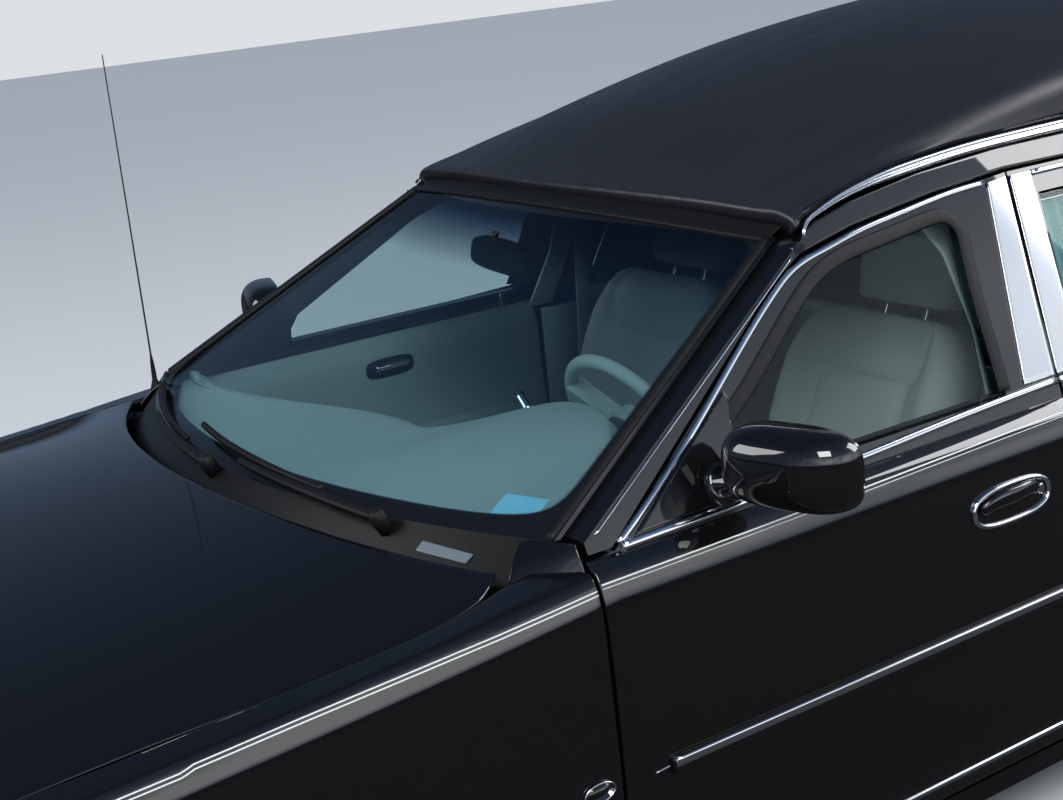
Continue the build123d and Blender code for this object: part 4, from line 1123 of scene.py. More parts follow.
# %% [markdown]
# ## Side mouldings
# A rubbing strip keeps other cars' doors off the paint: a black base with a bright crest
# along it, and a slim bright line above the sill. Straight bars would sink into the
# bowed side, so each is a strip laid on it, and cut where the doors part.


# %% Side mouldings
MOULDING_Z, CREST_Z, ROCKER_Z = 0.565, 0.57, 0.262
MOULDING_WIDTH, MOULDING_HEIGHT, CREST_WIDTH = 0.03, 0.009, 0.017
for end, x_from, x_to in (("front", 1.414, 0.348), ("rear", 0.336, -0.637)):
    side_strip(f"{end}_side_moulding", [(x_from, MOULDING_Z), (x_to, MOULDING_Z)],
               MOULDING_WIDTH, MOULDING_HEIGHT, PAINT, f"{end}_door", kind=plate)
    crest = even(np.array([(x_from - 0.004, CREST_Z), (x_to, CREST_Z)]), 50)
    crest, out = on_side(crest, MOULDING_HEIGHT)
    two_sides(tube, f"{end}_side_bright", crest, dome(CREST_WIDTH, 0.0035), BRIGHT, out,
              body=f"{end}_door")
    side_strip(f"{end}_rocker_moulding", [(x_from, ROCKER_Z), (x_to, ROCKER_Z)], 0.014, 0.005,
               BRIGHT, f"{end}_door")
side_strip("side_moulding_tip", [(1.448, 0.563), (1.4145, 0.566)], 0.003, 0.002, BRIGHT,
           "front_door", 6)
side_strip("quarter_side_moulding", [(-0.648, MOULDING_Z), (-1.175, MOULDING_Z)],
           MOULDING_WIDTH, MOULDING_HEIGHT, PAINT, kind=plate, count=20)
side_strip("quarter_side_bright", [(-0.648, CREST_Z), (-1.172, CREST_Z)], CREST_WIDTH, 0.0125,
           BRIGHT, count=20)
print("side mouldings on")

# %% [markdown]
# ## Gutter and rail
# The rain gutter is one bright bar with a groove along it, from beside the windscreen
# to the tail, and a black rail stands between it and the doors. The bar comes to a point
# at its front end, so its section is scaled along the way.


# %% Gutter and rail
GUTTER_LINE = np.array([(0.842, 1.331), (0.826, 1.3525), (0.8, 1.364), (0.744, 1.379),
                        (0.666, 1.394), (0.52, 1.409), (0.378, 1.418), (0.2, 1.4225),
                        (0.0, 1.4245), (-0.7, 1.4245), (-1.8, 1.4245), (-3.0, 1.4245)])


def double_dome(width, height):
    """Section of two half rounds with a groove between: cosine, and sine to 0.8."""
    a = np.linspace(0, np.pi, 8)
    one = np.stack([np.cos(a) * width / 4 * 0.94, 0.001 + np.sin(a) ** 0.8 * height], axis=1)
    return np.concatenate([one + (width / 4, 0), one - (width / 4, 0),
                           [[-width / 2, -0.006], [width / 2, -0.006]]])


gutter_path = on_skin(even(flow(GUTTER_LINE, 600, lengths(GUTTER_LINE)), 220), 0.006)
gutter_size = np.clip(np.linspace(0.25, 10, 220), 0, 1)[:, None, None]
for moulding in two_sides(tube, "gutter_moulding", gutter_path,
                          double_dome(0.024, 0.008)[None] * gutter_size, BRIGHT,
                          LEAN_OUT):
    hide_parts("roof_mouldings")

RAIL_LOW = np.array([(0.872, 1.3035), (0.855, 1.3065), (0.8, 1.3165), (0.714, 1.3315),
                     (0.5, 1.3545), (0.269, 1.3685), (-0.668, 1.3685)])
RAIL_HIGH = np.array([(0.853, 1.321), (0.838, 1.339), (0.8, 1.354), (0.7, 1.375),
                      (0.5, 1.3985), (0.269, 1.411), (-0.668, 1.414)])
rail_low = even(RAIL_LOW, 120)
rail_high = np.stack([rail_low[:, 0], np.interp(rail_low[:, 0], RAIL_HIGH[::-1, 0],
                                                RAIL_HIGH[::-1, 1])], axis=1)
rail_grid = on_skin(between(rail_low, rail_high, 8).reshape(-1, 2)).reshape(8, 120, 3)
two_sides(shell, "roof_rail_cover", rail_grid, 0.03, 0.0035, PAINT, up=OUT_LEFT)
print("trim laid on")

# %% [markdown]
# ## Rounded bodies
# Many fittings are moulded blocks: no flat face, no sharp edge, but clearly not balls.
# A bevelled cube gets there in two steps. A stack of superellipse rings does it in one,
# and its power says how square the block is.


# %% Rounded bodies
def rounded(angle, power):
    """Unit superellipse: a circle at power 2 and a rounded square above it.

    Cosine and sine are each raised to two over the power, and keep their signs.
    """
    c, s = np.cos(angle), np.sin(angle)
    return np.stack([np.sign(c) * np.abs(c) ** (2 / power),
                     np.sign(s) * np.abs(s) ** (2 / power)], axis=-1)


def stacked(name, centres, sizes, power, across, over, look, body=None, turn=48):
    """Closed body of superellipse rings: a centre and two half sizes for each, two axes."""
    a = np.linspace(0, 2 * np.pi, turn, endpoint=False)
    shape = rounded(a, power)
    centres, sizes = np.asarray(centres, float), np.asarray(sizes, float)
    points = (centres[:, None]
              + (shape[None, :, :1] * sizes[:, None, :1]) * np.asarray(across, float)
              + (shape[None, :, 1:] * sizes[:, None, 1:]) * np.asarray(over, float))
    return closed_body(name, points, look, body)


print("a rounded square reaches", rounded(np.array([np.pi / 4]), 4.0).round(3)[0], "at its corner")

# %% [markdown]
# ## Door mirrors
# Each mirror is a shallow bowl that holds its glass, on a short neck from a round foot,
# with a small black panel ahead of the window. The bowl's rings shrink along a quarter
# of a sine, slowly at the glass and fast at the nose, which gives the blunt streamlining
# that a sphere or a box would lack.


# %% Door mirrors
MIRROR_AT = np.array([1.139, 0.99, 1.031])
MIRROR_WIDE = unit(np.array([-0.3, 1.0, 0.0]))
MIRROR_AHEAD = unit(np.array([1.0, 0.3, 0.05]))
MIRROR_HALF_WIDE, MIRROR_HALF_HIGH, MIRROR_DEEP = 0.123, 0.074, 0.088
MIRROR_POWER = 3.4
depth = np.sin(np.linspace(0, np.pi / 2, 22))
shrink = (1 - depth ** 2.6) ** (1 / 2.3)
centres = (MIRROR_AT + MIRROR_AHEAD * (depth * MIRROR_DEEP)[:, None]
           - MIRROR_WIDE * (depth ** 2 * 0.016)[:, None] + (0, 0, 0.004) * depth[:, None])
sizes = np.stack([MIRROR_HALF_WIDE * (0.22 + 0.78 * shrink),
                  MIRROR_HALF_HIGH * (0.12 + 0.88 * shrink)], axis=1)
for head in two_sides(stacked, "mirror_head", centres, sizes, MIRROR_POWER, MIRROR_WIDE, UP,
                      PAINT, body="front_door"):
    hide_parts(f"mirror_{head.name.rsplit('_', 1)[1]}")
glass_back = MIRROR_AT - MIRROR_AHEAD * 0.003
two_sides(stacked, "mirror_glass", [glass_back, glass_back + MIRROR_AHEAD * 0.004],
          [(0.11, 0.061)] * 2, MIRROR_POWER, MIRROR_WIDE, UP, BRIGHT, body="front_door")
neck_line = flow([(1.204, 0.862, 0.985), (1.194, 0.888, 0.991), (1.183, 0.92, 0.999),
                  (1.168, 0.955, 1.008)], 16)
neck_section = np.linspace(1.0, 0.9, 16)[:, None, None] * ring(0.03, 28, 1.15)[None]
two_sides(tube, "mirror_neck", neck_line, neck_section, PAINT, (1.0, 0.2, 0.3),
          body="front_door")
foot_at = on_skin([(1.204, 0.987)])[0]
two_sides(stacked, "mirror_foot", [foot_at + LEAN_OUT * d for d in (-0.003, 0.012, 0.016)],
          [(0.037, 0.04), (0.034, 0.037), (0.028, 0.031)], 2.2, AHEAD, np.cross(LEAN_OUT, AHEAD),
          PAINT, body="front_door")

SAIL = ((1.404, 0.9565), (1.135, 1.1235), (1.131, 1.113), (1.186, 0.9605))
sail = patch(SAIL, 24, 40, 0.006)
swell = np.linspace(0, 1, 24)[:, None] * np.sin(np.linspace(0, np.pi, 40))[None]
sail[..., 0] -= 0.006 * swell
two_sides(shell, "sail_panel", sail, 0.006, 0.003, PAINT, body="front_door",
          up=OUT_LEFT)
print("mirrors fitted")

# %% [markdown]
# ## Door handles
# A hand lifts each grip from an oval bowl with a bright rim, and the key goes in a round
# lock behind it. The rim is a thin ring carried round the oval. The bowl is a stack of
# ovals that shrink to its middle, and the grip an arched bar, flat like a finger.


# %% Door handles
HANDLE_Z = 0.795


def handle(end, x):
    """Oval bright bezel, dark bowl, lifting grip and a round lock."""
    z = HANDLE_Z
    door, a = f"{end}_door", np.linspace(0, 2 * np.pi, 64, endpoint=False)
    oval = rounded(a, 2.7) * (0.104, 0.036) + (x, z)
    path, out = on_side(oval, 0.003)
    two_sides(tube, f"{end}_handle_bezel", path, ring(0.0055, 12), BRIGHT, out,
              body=door, closed=True)
    r = np.linspace(0.02, 1, 14)[:, None, None]
    flat = rounded(a, 2.7)[None] * r * (0.101, 0.033) + (x, z)
    points, away = on_side(flat.reshape(-1, 2), 0.0)
    dent = (0.0025 - 0.001 * (1 - r ** 2)) * np.ones((1, 64, 1))
    bowl = points.reshape(14, 64, 3) + away.reshape(14, 64, 3) * dent
    rim = bowl[-1:] - away.reshape(14, 64, 3)[-1:] * 0.006
    solid, faces = np.concatenate([bowl, rim]), capped(15, 64)
    looking, _ = across_corner(solid, np.array(faces[:1]))
    if looking[0, 1] < 0:
        faces = [f[::-1] for f in faces]
    two_sides(make, f"{end}_handle_bowl", solid, faces, PAINT, body=door)
    grip_line = (x, z) + np.array([(0.088, 0.004), (0.06, 0.016), (0.0, 0.02),
                                   (-0.05, 0.017), (-0.066, 0.006)])
    grip = even(flow(grip_line, 60, lengths(grip_line)), 40)
    path, out = on_side(grip, 0.0)
    lift = 0.006 + 0.014 * np.sin(np.linspace(0, np.pi, 40)) ** 0.5
    thick = 0.55 + 0.45 * np.sin(np.linspace(0, np.pi, 40)) ** 0.4
    section = ring(0.0155, 20, 0.5)[None] * thick[:, None, None]
    two_sides(tube, f"{end}_handle_grip", path + out * lift[:, None], section, PAINT,
              out, body=door)
    lock, out = on_side(np.array([(x - 0.083, z + 0.004)]), 0.0)
    disc = [lock[0] + out[0] * d for d in (0.0, 0.0045, 0.0055)]
    two_sides(stacked, f"{end}_handle_lock", disc, [(0.0105, 0.0105), (0.0105, 0.0105),
              (0.008, 0.008)], 2.0, AHEAD, np.cross(out[0], AHEAD), BRIGHT,
              body=door, turn=24)
    print(end, "handles at", x, z)


handle("front", 0.5585)
handle("rear", -0.425)

# %% [markdown]
# ## Blank badge
# A small oval plate with a bright rim sits low on each fender, and carries no mark. A
# squashed cylinder would have a sharp edge, so the rim is a thin ring round the oval.


# %% Blank badge
badge, badge_out = (v[0] for v in on_side([(1.564, 0.572)], 0.001))
badge_up = np.cross(AHEAD, badge_out)
two_sides(stacked, "badge_plate", [badge, badge + badge_out * 0.003], [(0.03, 0.0165)] * 2, 2.0,
          AHEAD, badge_up, PAINT)
oval = rounded(np.linspace(0, 2 * np.pi, 48, endpoint=False), 2.0)
rim_path = badge + badge_out * 0.0025
rim_path = rim_path + oval[:, :1] * (0.0305, 0, 0) + oval[:, 1:] * badge_up * 0.017
two_sides(tube, "badge_rim", rim_path, ring(0.0016, 10), BRIGHT, badge_out, closed=True)
print("badge at", badge.round(3))

# %% [markdown]
# ## Windscreen surround
# The glass is bowed both ways and framed by black rubber, with a thin bright line down
# each pillar. Its edges could be picked from the CAD mesh. A formula for any place on
# the glass, by a share across and a share up, serves the frame, the labels and the
# header alike.


# %% Windscreen surround
# Side x, half width, side height, middle x and middle height, at the base and the head.
SCREEN_BASE = np.array([1.526, 0.822, 0.966, 1.765, 0.985])
SCREEN_HEAD = np.array([0.866, 0.646, 1.334, 0.95, 1.366])
GLASS_OUT = np.array([0.42, 0, 0.9])


def on_screen(across, up, proud=0.0):
    """Point on the windscreen: -1 to 1 across it and 0 to 1 up it.

    The base and the head are mixed by the share up. The middle then stands out from the
    sides by one less the share across squared.
    """
    across, up = np.broadcast_arrays(np.asarray(across, float), np.asarray(up, float))
    edge = SCREEN_BASE + (SCREEN_HEAD - SCREEN_BASE) * up[..., None]
    bow = 1 - across ** 2
    p = np.stack([edge[..., 0] + (edge[..., 3] - edge[..., 0]) * bow, across * edge[..., 1],
                  edge[..., 2] + (edge[..., 4] - edge[..., 2]) * bow], axis=-1)
    return p + proud * unit(GLASS_OUT)


header = on_screen(np.linspace(-0.995, 0.995, 60), 0.985, 0.002)
tube("header_trim", header, dome(0.016, 0.005, 0.004), PLASTIC, GLASS_OUT)
side_trim = on_screen(0.992, np.linspace(0.0, 0.99, 60), 0.002)
two_sides(tube, "screen_trim", side_trim, dome(0.016, 0.006, 0.006), PLASTIC,
          (0.45, 0.55, 0.7))
bright_edge = on_skin(np.linspace((1.478, 0.9745), (0.882, 1.3035), 60), 0.001)
two_sides(tube, "pillar_line", bright_edge, dome(0.004, 0.002), BRIGHT, LEAN_OUT)

foot_panel = quad((1.612, 0.806, 0.918), (1.514, 0.89, 0.924), (1.514, 0.862, 0.969),
                  (1.556, 0.768, 0.966), 16, 18)
up_share = np.linspace(0, 1, 16)[:, None, None]
foot_panel += (0.0018, 0.0018, 0.0054) * np.sin(np.pi * up_share) - (0, 0, 0.004) * (1 - up_share)
two_sides(shell, "pillar_foot_panel", foot_panel, 0.006, 0.002, PAINT,
          up=np.array([0.5, 0.3, 0.8]))
print("windscreen framed")

# %% [markdown]
# ## Windscreen glass
# A dark band is baked on round the edge to hide the glue, and the glass is tinted blue
# towards the top. Both could be painted in an image. Here the distance across and up
# the glass are worked out from the point's own place, and high powers of them turn dark
# only near the edge.


# %% Windscreen glass
glass_look = Look("screen_glass")
_, gx, gy, gz = glass_look.place()
share = gy * gy * 1.48
rise = (gz - 0.985 + share * 0.019) / 0.375
wide = abs(gy) / (0.822 - rise.held() * 0.176)
over = wide / 0.962
height = abs(rise - 0.503) / 0.462
frit = ((over.maths("POWER", 14.0) + height.maths("POWER", 14.0) - 1.0) * 8.0).held()
shade = ((rise - 0.74) * 5.0).held()
tint = glass_look.blend(shade, rgb(0.8, 0.9, 0.92), rgb(0.06, 0.12, 0.2))
view = pane(glass_look, tint, 0.13, rgb(0.85, 0.92, 0.97), 0.015)
dark = glass_look.node("ShaderNodeBsdfPrincipled", None, {
    "Base Color": rgb(0.006, 0.007, 0.009), "Roughness": 0.12}).out(0)
glass_look.finish(glass_look.node("ShaderNodeMixShader", None, {0: frit, 1: view, 2: dark}).out(0))
LOOKS["screen_glass"] = glass_look.material
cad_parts["windshield"].material_slots[0].material = glass_look.material
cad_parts["cowl_panel"].material_slots[0].material = LOOKS["frit"]
print("glass tinted")

# %% [markdown]
# ## Blank labels
# A pale label sticks to the inside of the glass, and a grey number plate lies at its
# foot. A flat plane would pass through the bowed glass, so the label is a net laid on
# it. Both are blank.


# %% Blank labels
LOOKS["sticker"] = plain("sticker", rgb(0.3, 0.62, 0.78), 0.4)
LOOKS["plate_grey"] = plain("plate_grey", rgb(0.1, 0.13, 0.16), 0.4)

label_up, label_across = np.meshgrid(
    np.linspace(0.056, 0.128, 6), np.linspace(0.822, 0.918, 6), indexing="ij")
shell("blank_sticker", on_screen(label_across, label_up, -0.0165), 0.0006, 0.0003, "sticker",
      up=np.array([0.4, 0, 0.9]))
label_net = quad((1.657, 0.62, 0.952), (1.617, 0.717, 0.941), (1.632, 0.713, 0.928),
                 (1.672, 0.619, 0.938), 6, 12)
label_out = unit(np.cross(label_net[0, -1] - label_net[0, 0], label_net[-1, 0] - label_net[0, 0]))
label_out = label_out * np.sign(label_out[2])
shell("blank_number_plate", label_net + label_out * 0.0022, 0.0014, 0.0004, "plate_grey",
      up=label_out)
print("two blank labels")

# %% [markdown]
# ## Dashboard
# Its top is one soft moulding, shallow on the passenger's side, that swells into a round
# hood over the instruments. Joining two separate blocks would leave a seam. One smooth
# net of eleven lines across the car, with a swelling added where the hood is, does not.


# %% Dashboard
DASH_REAR = np.array([
    (-0.77, 1.44), (-0.7, 1.455), (-0.572, 1.45), (-0.45, 1.425), (-0.343, 1.395),
    (-0.155, 1.335), (0.039, 1.312), (0.105, 1.29), (0.14, 1.225), (0.17, 1.15),
    (0.215, 1.092), (0.275, 1.066), (0.337, 1.064), (0.43, 1.098), (0.517, 1.165),
    (0.59, 1.24), (0.65, 1.3), (0.71, 1.35), (0.77, 1.405)])
dash_y = np.linspace(-0.77, 0.77, 120)
dash_rear = flow(DASH_REAR[:, 1:], dash_y, DASH_REAR[:, 0])[:, 0]
dash_front = 1.492 + 0.222 * (1 - (dash_y / 0.822) ** 2)
lobe = np.exp(-((dash_y - 0.335) / 0.165) ** 4)
dash_top = 0.962 + 0.03 * lobe
run_x = dash_front - dash_rear
dash_net = np.stack([np.stack([x, dash_y, z], axis=1) for x, z in (
    (dash_front, 0.925 + 0 * lobe), (dash_front - 0.004, 0.948 + 0 * lobe),
    (dash_front - 0.25 * run_x, 0.958 + 0.01 * lobe),
    (dash_front - 0.6 * run_x, dash_top), (dash_rear + 0.05, dash_top + 0.006),
    (dash_rear + 0.016, dash_top - 0.002), (dash_rear, dash_top - 0.022),
    (dash_rear + 0.012 + 0.02 * lobe, dash_top - 0.048),
    (np.maximum(dash_rear + 0.05, 1.26 + 0 * lobe) + 0.02, 0.845 + 0 * lobe),
    (np.maximum(dash_rear + 0.08, 1.3 + 0 * lobe), 0.76 + 0 * lobe),
    (np.maximum(dash_rear + 0.12, 1.38 + 0 * lobe), 0.705 + 0 * lobe))])
dash_grid = flow(dash_net, 56)
dashboard = shell("dashboard_top", dash_grid, 0.012, 0.004, TRIM,
                  up=np.array([-0.4, 0, 1.0]))
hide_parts("dashboard")
column_line = np.linspace((1.052, 0.37, 0.911), (1.262, 0.37, 0.813), 8)
tube("steering_column", column_line, ring(0.036, 24), TRIM, UP)
dial = np.meshgrid(np.linspace(0.905, 0.97, 8), np.linspace(0.2, 0.47, 20), indexing="ij")
dial_grid = np.stack([1.15 - (dial[0] - 0.905) * 0.35, dial[1], dial[0]], axis=2)
shell("instrument_face", dial_grid, 0.004, 0.002, PAINT, up=np.array([-1.0, 0, 0]))
vents = [(1.7, -0.3), (1.69, -0.42), (1.672, -0.54), (1.706, 0.12), (1.7, 0.26)]
for number, (x, y) in enumerate(vents):
    slot_line = np.linspace((x - 0.012, y - 0.05, 0.9565), (x - 0.012, y + 0.05, 0.9565), 6)
    tube(f"screen_vent_{number}", slot_line, plate(0.014, 0.003), PLASTIC, UP)
print("dashboard", len(dashboard.data.polygons), "faces")

# %% [markdown]
# ## Padding
# Leather is drawn tight over foam and sewn down, so it swells between its seams.
# Sculpting is the usual way to padding. Here bell curves do it: a wide one raises a
# bolster, and a narrow one presses in a seam.


# %% Padding
def bolstered(name, path, width, thick, look, forward, wing=0.03, seam=0.01, power=4.0,
              panel=0.62, seam_end=0.5):
    """Padded slab along a path: wings swell on its front face and seams are pressed in.

    Its rings are superellipses that shrink towards both ends. To the front of each is
    added a bell curve centred at 0.80 of the half width, less a narrow bell curve along
    the seams. One seam runs round an upper panel with rounded lower corners, the other
    two run down from it.
    """
    path = np.asarray(path, float)
    n, m = len(path), 96
    a = np.linspace(0, 2 * np.pi, m, endpoint=False)
    s = np.linspace(0, 1, n)
    ends = (1 - np.abs(2 * s - 1) ** 9) ** (1 / 4.5)
    width, thick = np.broadcast_to(width, n), np.broadcast_to(thick, n)
    shape = rounded(a, power)
    across = shape[:, 0] * (width * (0.8 + 0.2 * ends))[:, None]
    deep = shape[:, 1] * (thick * (0.25 + 0.75 * ends))[:, None]
    front = np.clip(shape[:, 1] * 1.6, 0, 1)
    share = np.abs(shape[:, 0])
    along = np.sin(np.pi * np.clip(s, 0.02, 0.98))[:, None] ** 0.5
    swell = wing * np.exp(-((share - 0.8) / 0.17) ** 2) * along
    down = (1 - s[:, None]) / seam_end
    round_panel = ((share[None] / panel) ** 5 + down ** 5) ** 0.2
    crease = seam * np.exp(-((round_panel - 1) / 0.03) ** 2)
    lower = seam * np.exp(-((share[None] - panel * 0.74) / 0.02) ** 2) * (down > 1.0)
    crease = np.maximum(crease, lower)
    deep = deep + front * (swell - crease)
    ahead = unit(np.gradient(path, axis=0))
    forward = np.asarray(forward, float)
    forward = unit(forward - ahead * (ahead * forward).sum(axis=1, keepdims=True))
    points = path[:, None] + across[..., None] * LEFT + deep[..., None] * forward[:, None]
    return closed_body(name, points, look)


print("padding ready")

# %% [markdown]
# ## Seats
# The two front seats have a cushion, a back whose bolsters frame a stitched panel, and a
# headrest on two bright posts. Each part is one padded slab along its own curved line,
# so that its lean and its waist can be set apart from its thickness.


# %% Seats
SEAT_Y = 0.38
for side, y in (("driver", SEAT_Y), ("passenger", -SEAT_Y)):
    middle = np.array([0, y, 0])
    back_line = middle + flow([(0.45, 0, 0.56), (0.41, 0, 0.7), (0.358, 0, 0.84),
                               (0.3, 0, 0.95), (0.262, 0, 1.008)], 60)
    back_width = np.interp(np.linspace(0, 1, 60), [0, 0.35, 0.62, 0.85, 1],
                           [0.262, 0.268, 0.262, 0.228, 0.195])
    seat_back = bolstered(f"{side}_seat_back", back_line, back_width, 0.062, LEATHER,
                          (1, 0, 0), wing=0.03, seam=0.012, panel=0.7, seam_end=0.42)
    cushion_line = middle + flow([(0.415, 0, 0.47), (0.56, 0, 0.465), (0.74, 0, 0.478),
                                  (0.87, 0, 0.49), (0.935, 0, 0.48)], 56)
    cushion = bolstered(f"{side}_seat_cushion", cushion_line, 0.258, 0.072, LEATHER,
                        (0, 0, 1), wing=0.02, seam_end=0.55)
    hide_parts("front_seats")
    rest_line = middle + flow([(0.232, 0, 1.038), (0.224, 0, 1.085), (0.217, 0, 1.135),
                               (0.213, 0, 1.185), (0.212, 0, 1.206)], 40)
    headrest = bolstered(f"{side}_headrest", rest_line, 0.14, 0.052, LEATHER, (1, 0, 0),
                         wing=0.0, seam=0.0, power=3.0)
    for post in (-0.06, 0.06):
        tube(f"{side}_headrest_post_{'inner' if post < 0 else 'outer'}",
             np.linspace((0.262, y + post, 0.985), (0.226, y + post, 1.07), 6), ring(0.006, 12),
             BRIGHT, (1, 0, 0))
    stacked(f"{side}_seat_base", [(0.66, y, 0.2305), (0.66, y, 0.26), (0.66, y, 0.405)],
            [(0.2, 0.19), (0.2, 0.19), (0.23, 0.21)], 6.0, AHEAD, LEFT, PLASTIC)
print("seats upholstered")

# %% [markdown]
# ## Pillars and belts
# Grey mouldings hide the steel of the pillars between the doors, and a belt hangs down
# each from a guide near the roof. They are seen only through the side glass, so a bowed
# sheet and a flat ribbon are enough.


# %% Pillars and belts
pillar_z = np.linspace(0.92, 1.335, 40)
pillar_front = np.interp(pillar_z, [0.92, 1.08, 1.22, 1.335], [0.47, 0.435, 0.44, 0.5])
pillar_rear = np.interp(pillar_z, [0.92, 1.335], [0.33, 0.3])
pillar_side = skin_y(pillar_z) - 0.082
pillar_bow = np.linspace(0, 1, 14)
pillar_grid = np.stack([np.stack([
    pillar_front * (1 - u) + pillar_rear * u,
    pillar_side - 0.02 * np.sin(np.pi * (0.25 + 0.75 * u)) + 0.012, pillar_z], axis=1)
    for u in pillar_bow])
two_sides(shell, "pillar_trim", pillar_grid, 0.006, 0.003, TRIM, up=OUT_LEFT * -1)
lower_z = np.linspace(0.3, 0.915, 24)
lower_grid = np.stack([np.stack([0.445 - 0.125 * u + 0 * lower_z,
                                 0.79 - 0.02 * np.sin(np.pi * u) + 0 * lower_z, lower_z], axis=1)
                       for u in pillar_bow])
two_sides(shell, "pillar_foot_trim", lower_grid, 0.006, 0.003, TRIM, up=OUT_LEFT * -1)
belt_line = flow([(0.35, 0.69, 1.255), (0.352, 0.704, 1.1), (0.352, 0.716, 0.95),
                  (0.365, 0.722, 0.6), (0.4, 0.7, 0.33)], 60)
two_sides(tube, "belt_webbing", belt_line, plate(0.046, 0.0022, 0.0), LEATHER,
          (0, -1.0, -0.3))
two_sides(stacked, "belt_guide", [(0.35, 0.698, 1.262), (0.35, 0.688, 1.259)],
          [(0.03, 0.014), (0.027, 0.011)], 3.0, AHEAD, (0, 0.3, 1.0), TRIM)
print("pillars covered")

# %% [markdown]
# ## Door linings
# Inside, each door has a moulded lining with a padded armrest, a bright lever in a dark
# cup, and a lock pin at the top. One bowed section, drawn once, is stretched along the
# door, and the small parts are set on it by their distance from the door's ends.


# %% Door linings
panel_z = np.array([0.935, 0.9, 0.86, 0.78, 0.7, 0.6, 0.48, 0.38, 0.29])
panel_in = np.array([0.842, 0.826, 0.818, 0.817, 0.812, 0.806, 0.812, 0.818, 0.826])
for end, x_front, x_rear in (("front", 1.42, 0.44), ("rear", 0.29, -0.6)):
    door, xs = f"{end}_door", np.linspace(x_front, x_rear, 50)
    shape = flow(np.stack([panel_in, panel_z], axis=1), 46)
    inner = np.stack(np.broadcast_arrays(xs[:, None], shape[:, 0], shape[:, 1]), axis=2)
    two_sides(shell, f"{end}_door_trim", inner, 0.01, 0.005, TRIM, body=door,
              up=OUT_LEFT * -1)
    rest_x = np.linspace(x_front - 0.3, x_rear + 0.1, 30)
    rest_z = 0.64 + 0.01 * np.sin((rest_x - x_rear) * 3)
    rest = np.stack([rest_x, 0.8 + 0 * rest_x, rest_z], axis=1)
    rest_shape = ring(0.03, 24, 1.15)[None] * (
        1 - 0.35 * np.abs(np.linspace(-1, 1, 30)) ** 6)[:, None, None]
    for arm in two_sides(tube, f"{end}_door_armrest", rest, rest_shape, TRIM, UP,
                         body=door):
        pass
    pull_x = x_front - 0.5 if end == "front" else x_front - 0.3
    cup = [(pull_x, 0.8155, 0.852), (pull_x, 0.8125, 0.852)]
    two_sides(stacked, f"{end}_inner_cup", cup, [(0.072, 0.026), (0.069, 0.023)], 3.5,
              AHEAD, UP, PLASTIC, body=door)
    lever = flow([(pull_x + 0.045, 0.81, 0.855), (pull_x, 0.802, 0.858),
                  (pull_x - 0.05, 0.808, 0.856)], 20)
    two_sides(tube, f"{end}_inner_lever", lever, ring(0.008, 14, 0.6), BRIGHT,
              (0, -1.0, 0), body=door)
    pin_x = x_rear + 0.105
    two_sides(tube, f"{end}_lock_pin",
              np.linspace((pin_x, 0.838, 0.925), (pin_x, 0.836, 0.975), 5), ring(0.0042, 14),
              BRIGHT, LEFT, body=door)
print("doors lined")

# %% [markdown]
# ## Small cabin fittings
# A rail and a padded ledge cross the car behind the seats, a mirror hangs from the roof,
# the gear lever leans from the steering column, and a soft pad covers the wheel's hub.
# All are seen through glass, so plain strips and rounded blocks are enough.


# %% Small cabin fittings
screen_line = np.linspace((0.055, -0.755, 0.962), (0.055, 0.755, 0.962), 8)
tube("screen_rail", screen_line, plate(0.034, 0.026), PLASTIC, UP)
ledge_line = np.linspace((0.098, -0.745, 0.952), (0.098, 0.745, 0.952), 8)
tube("screen_ledge", ledge_line, plate(0.052, 0.012, 0.006), LEATHER, UP)

mirror_at = np.array([1.05, 0.0, 1.262])
mirror_depth = unit(np.array([1.0, -0.12, 0.25]))
mirror_across = unit(np.cross(UP, mirror_depth))
stacked("cabin_mirror", [mirror_at + mirror_depth * d for d in (0.0, 0.006, 0.02, 0.03)],
        [(0.118, 0.031), (0.124, 0.037), (0.118, 0.032), (0.08, 0.018)], 4.0, mirror_across,
        np.cross(mirror_depth, mirror_across), PLASTIC)
stacked("cabin_mirror_glass", [mirror_at + mirror_depth * d for d in (-0.001, 0.002)],
        [(0.116, 0.029)] * 2, 4.0, mirror_across, np.cross(mirror_depth, mirror_across),
        BRIGHT)
tube("cabin_mirror_stalk", np.linspace((1.078, 0, 1.268), (1.062, 0, 1.318), 6), ring(0.007, 12),
     PLASTIC, LEFT)
lever_line = flow([(1.165, 0.33, 0.905), (1.155, 0.25, 0.945), (1.148, 0.165, 1.008)], 24)
tube("gear_lever", lever_line[:20], ring(0.0065, 14), TRIM, AHEAD)
tube("gear_lever_knob", lever_line[18:], ring(0.0115, 16), BRIGHT, AHEAD)
hub = np.array([1.015, 0.37, 0.928])
column_way = unit(np.array([0.9, 0, -0.42]))
wheel_up = np.array([0.42, 0, 0.9])
stacked("wheel_pad", [hub - column_way * d for d in (-0.006, 0.004, 0.018, 0.024)],
        [(0.062, 0.048), (0.07, 0.058), (0.066, 0.052), (0.048, 0.036)], 3.0, LEFT, wheel_up,
        TRIM, body="steering_wheel")
print("cabin fitted")

# %% [markdown]
# ## Curtains
# Pleated cloth hangs from a thin rod inside each rear door's window and the load door's.
# A cloth simulation could gather it, but would settle a little differently each time. A
# sine wave along the rod, deeper and slightly adrift at the hem, gives the same pleats
# at every run.


# %% Curtains
PLEAT_PITCH, PLEAT_DEEP, PLEAT_ROWS = 0.036, 0.0075, 20


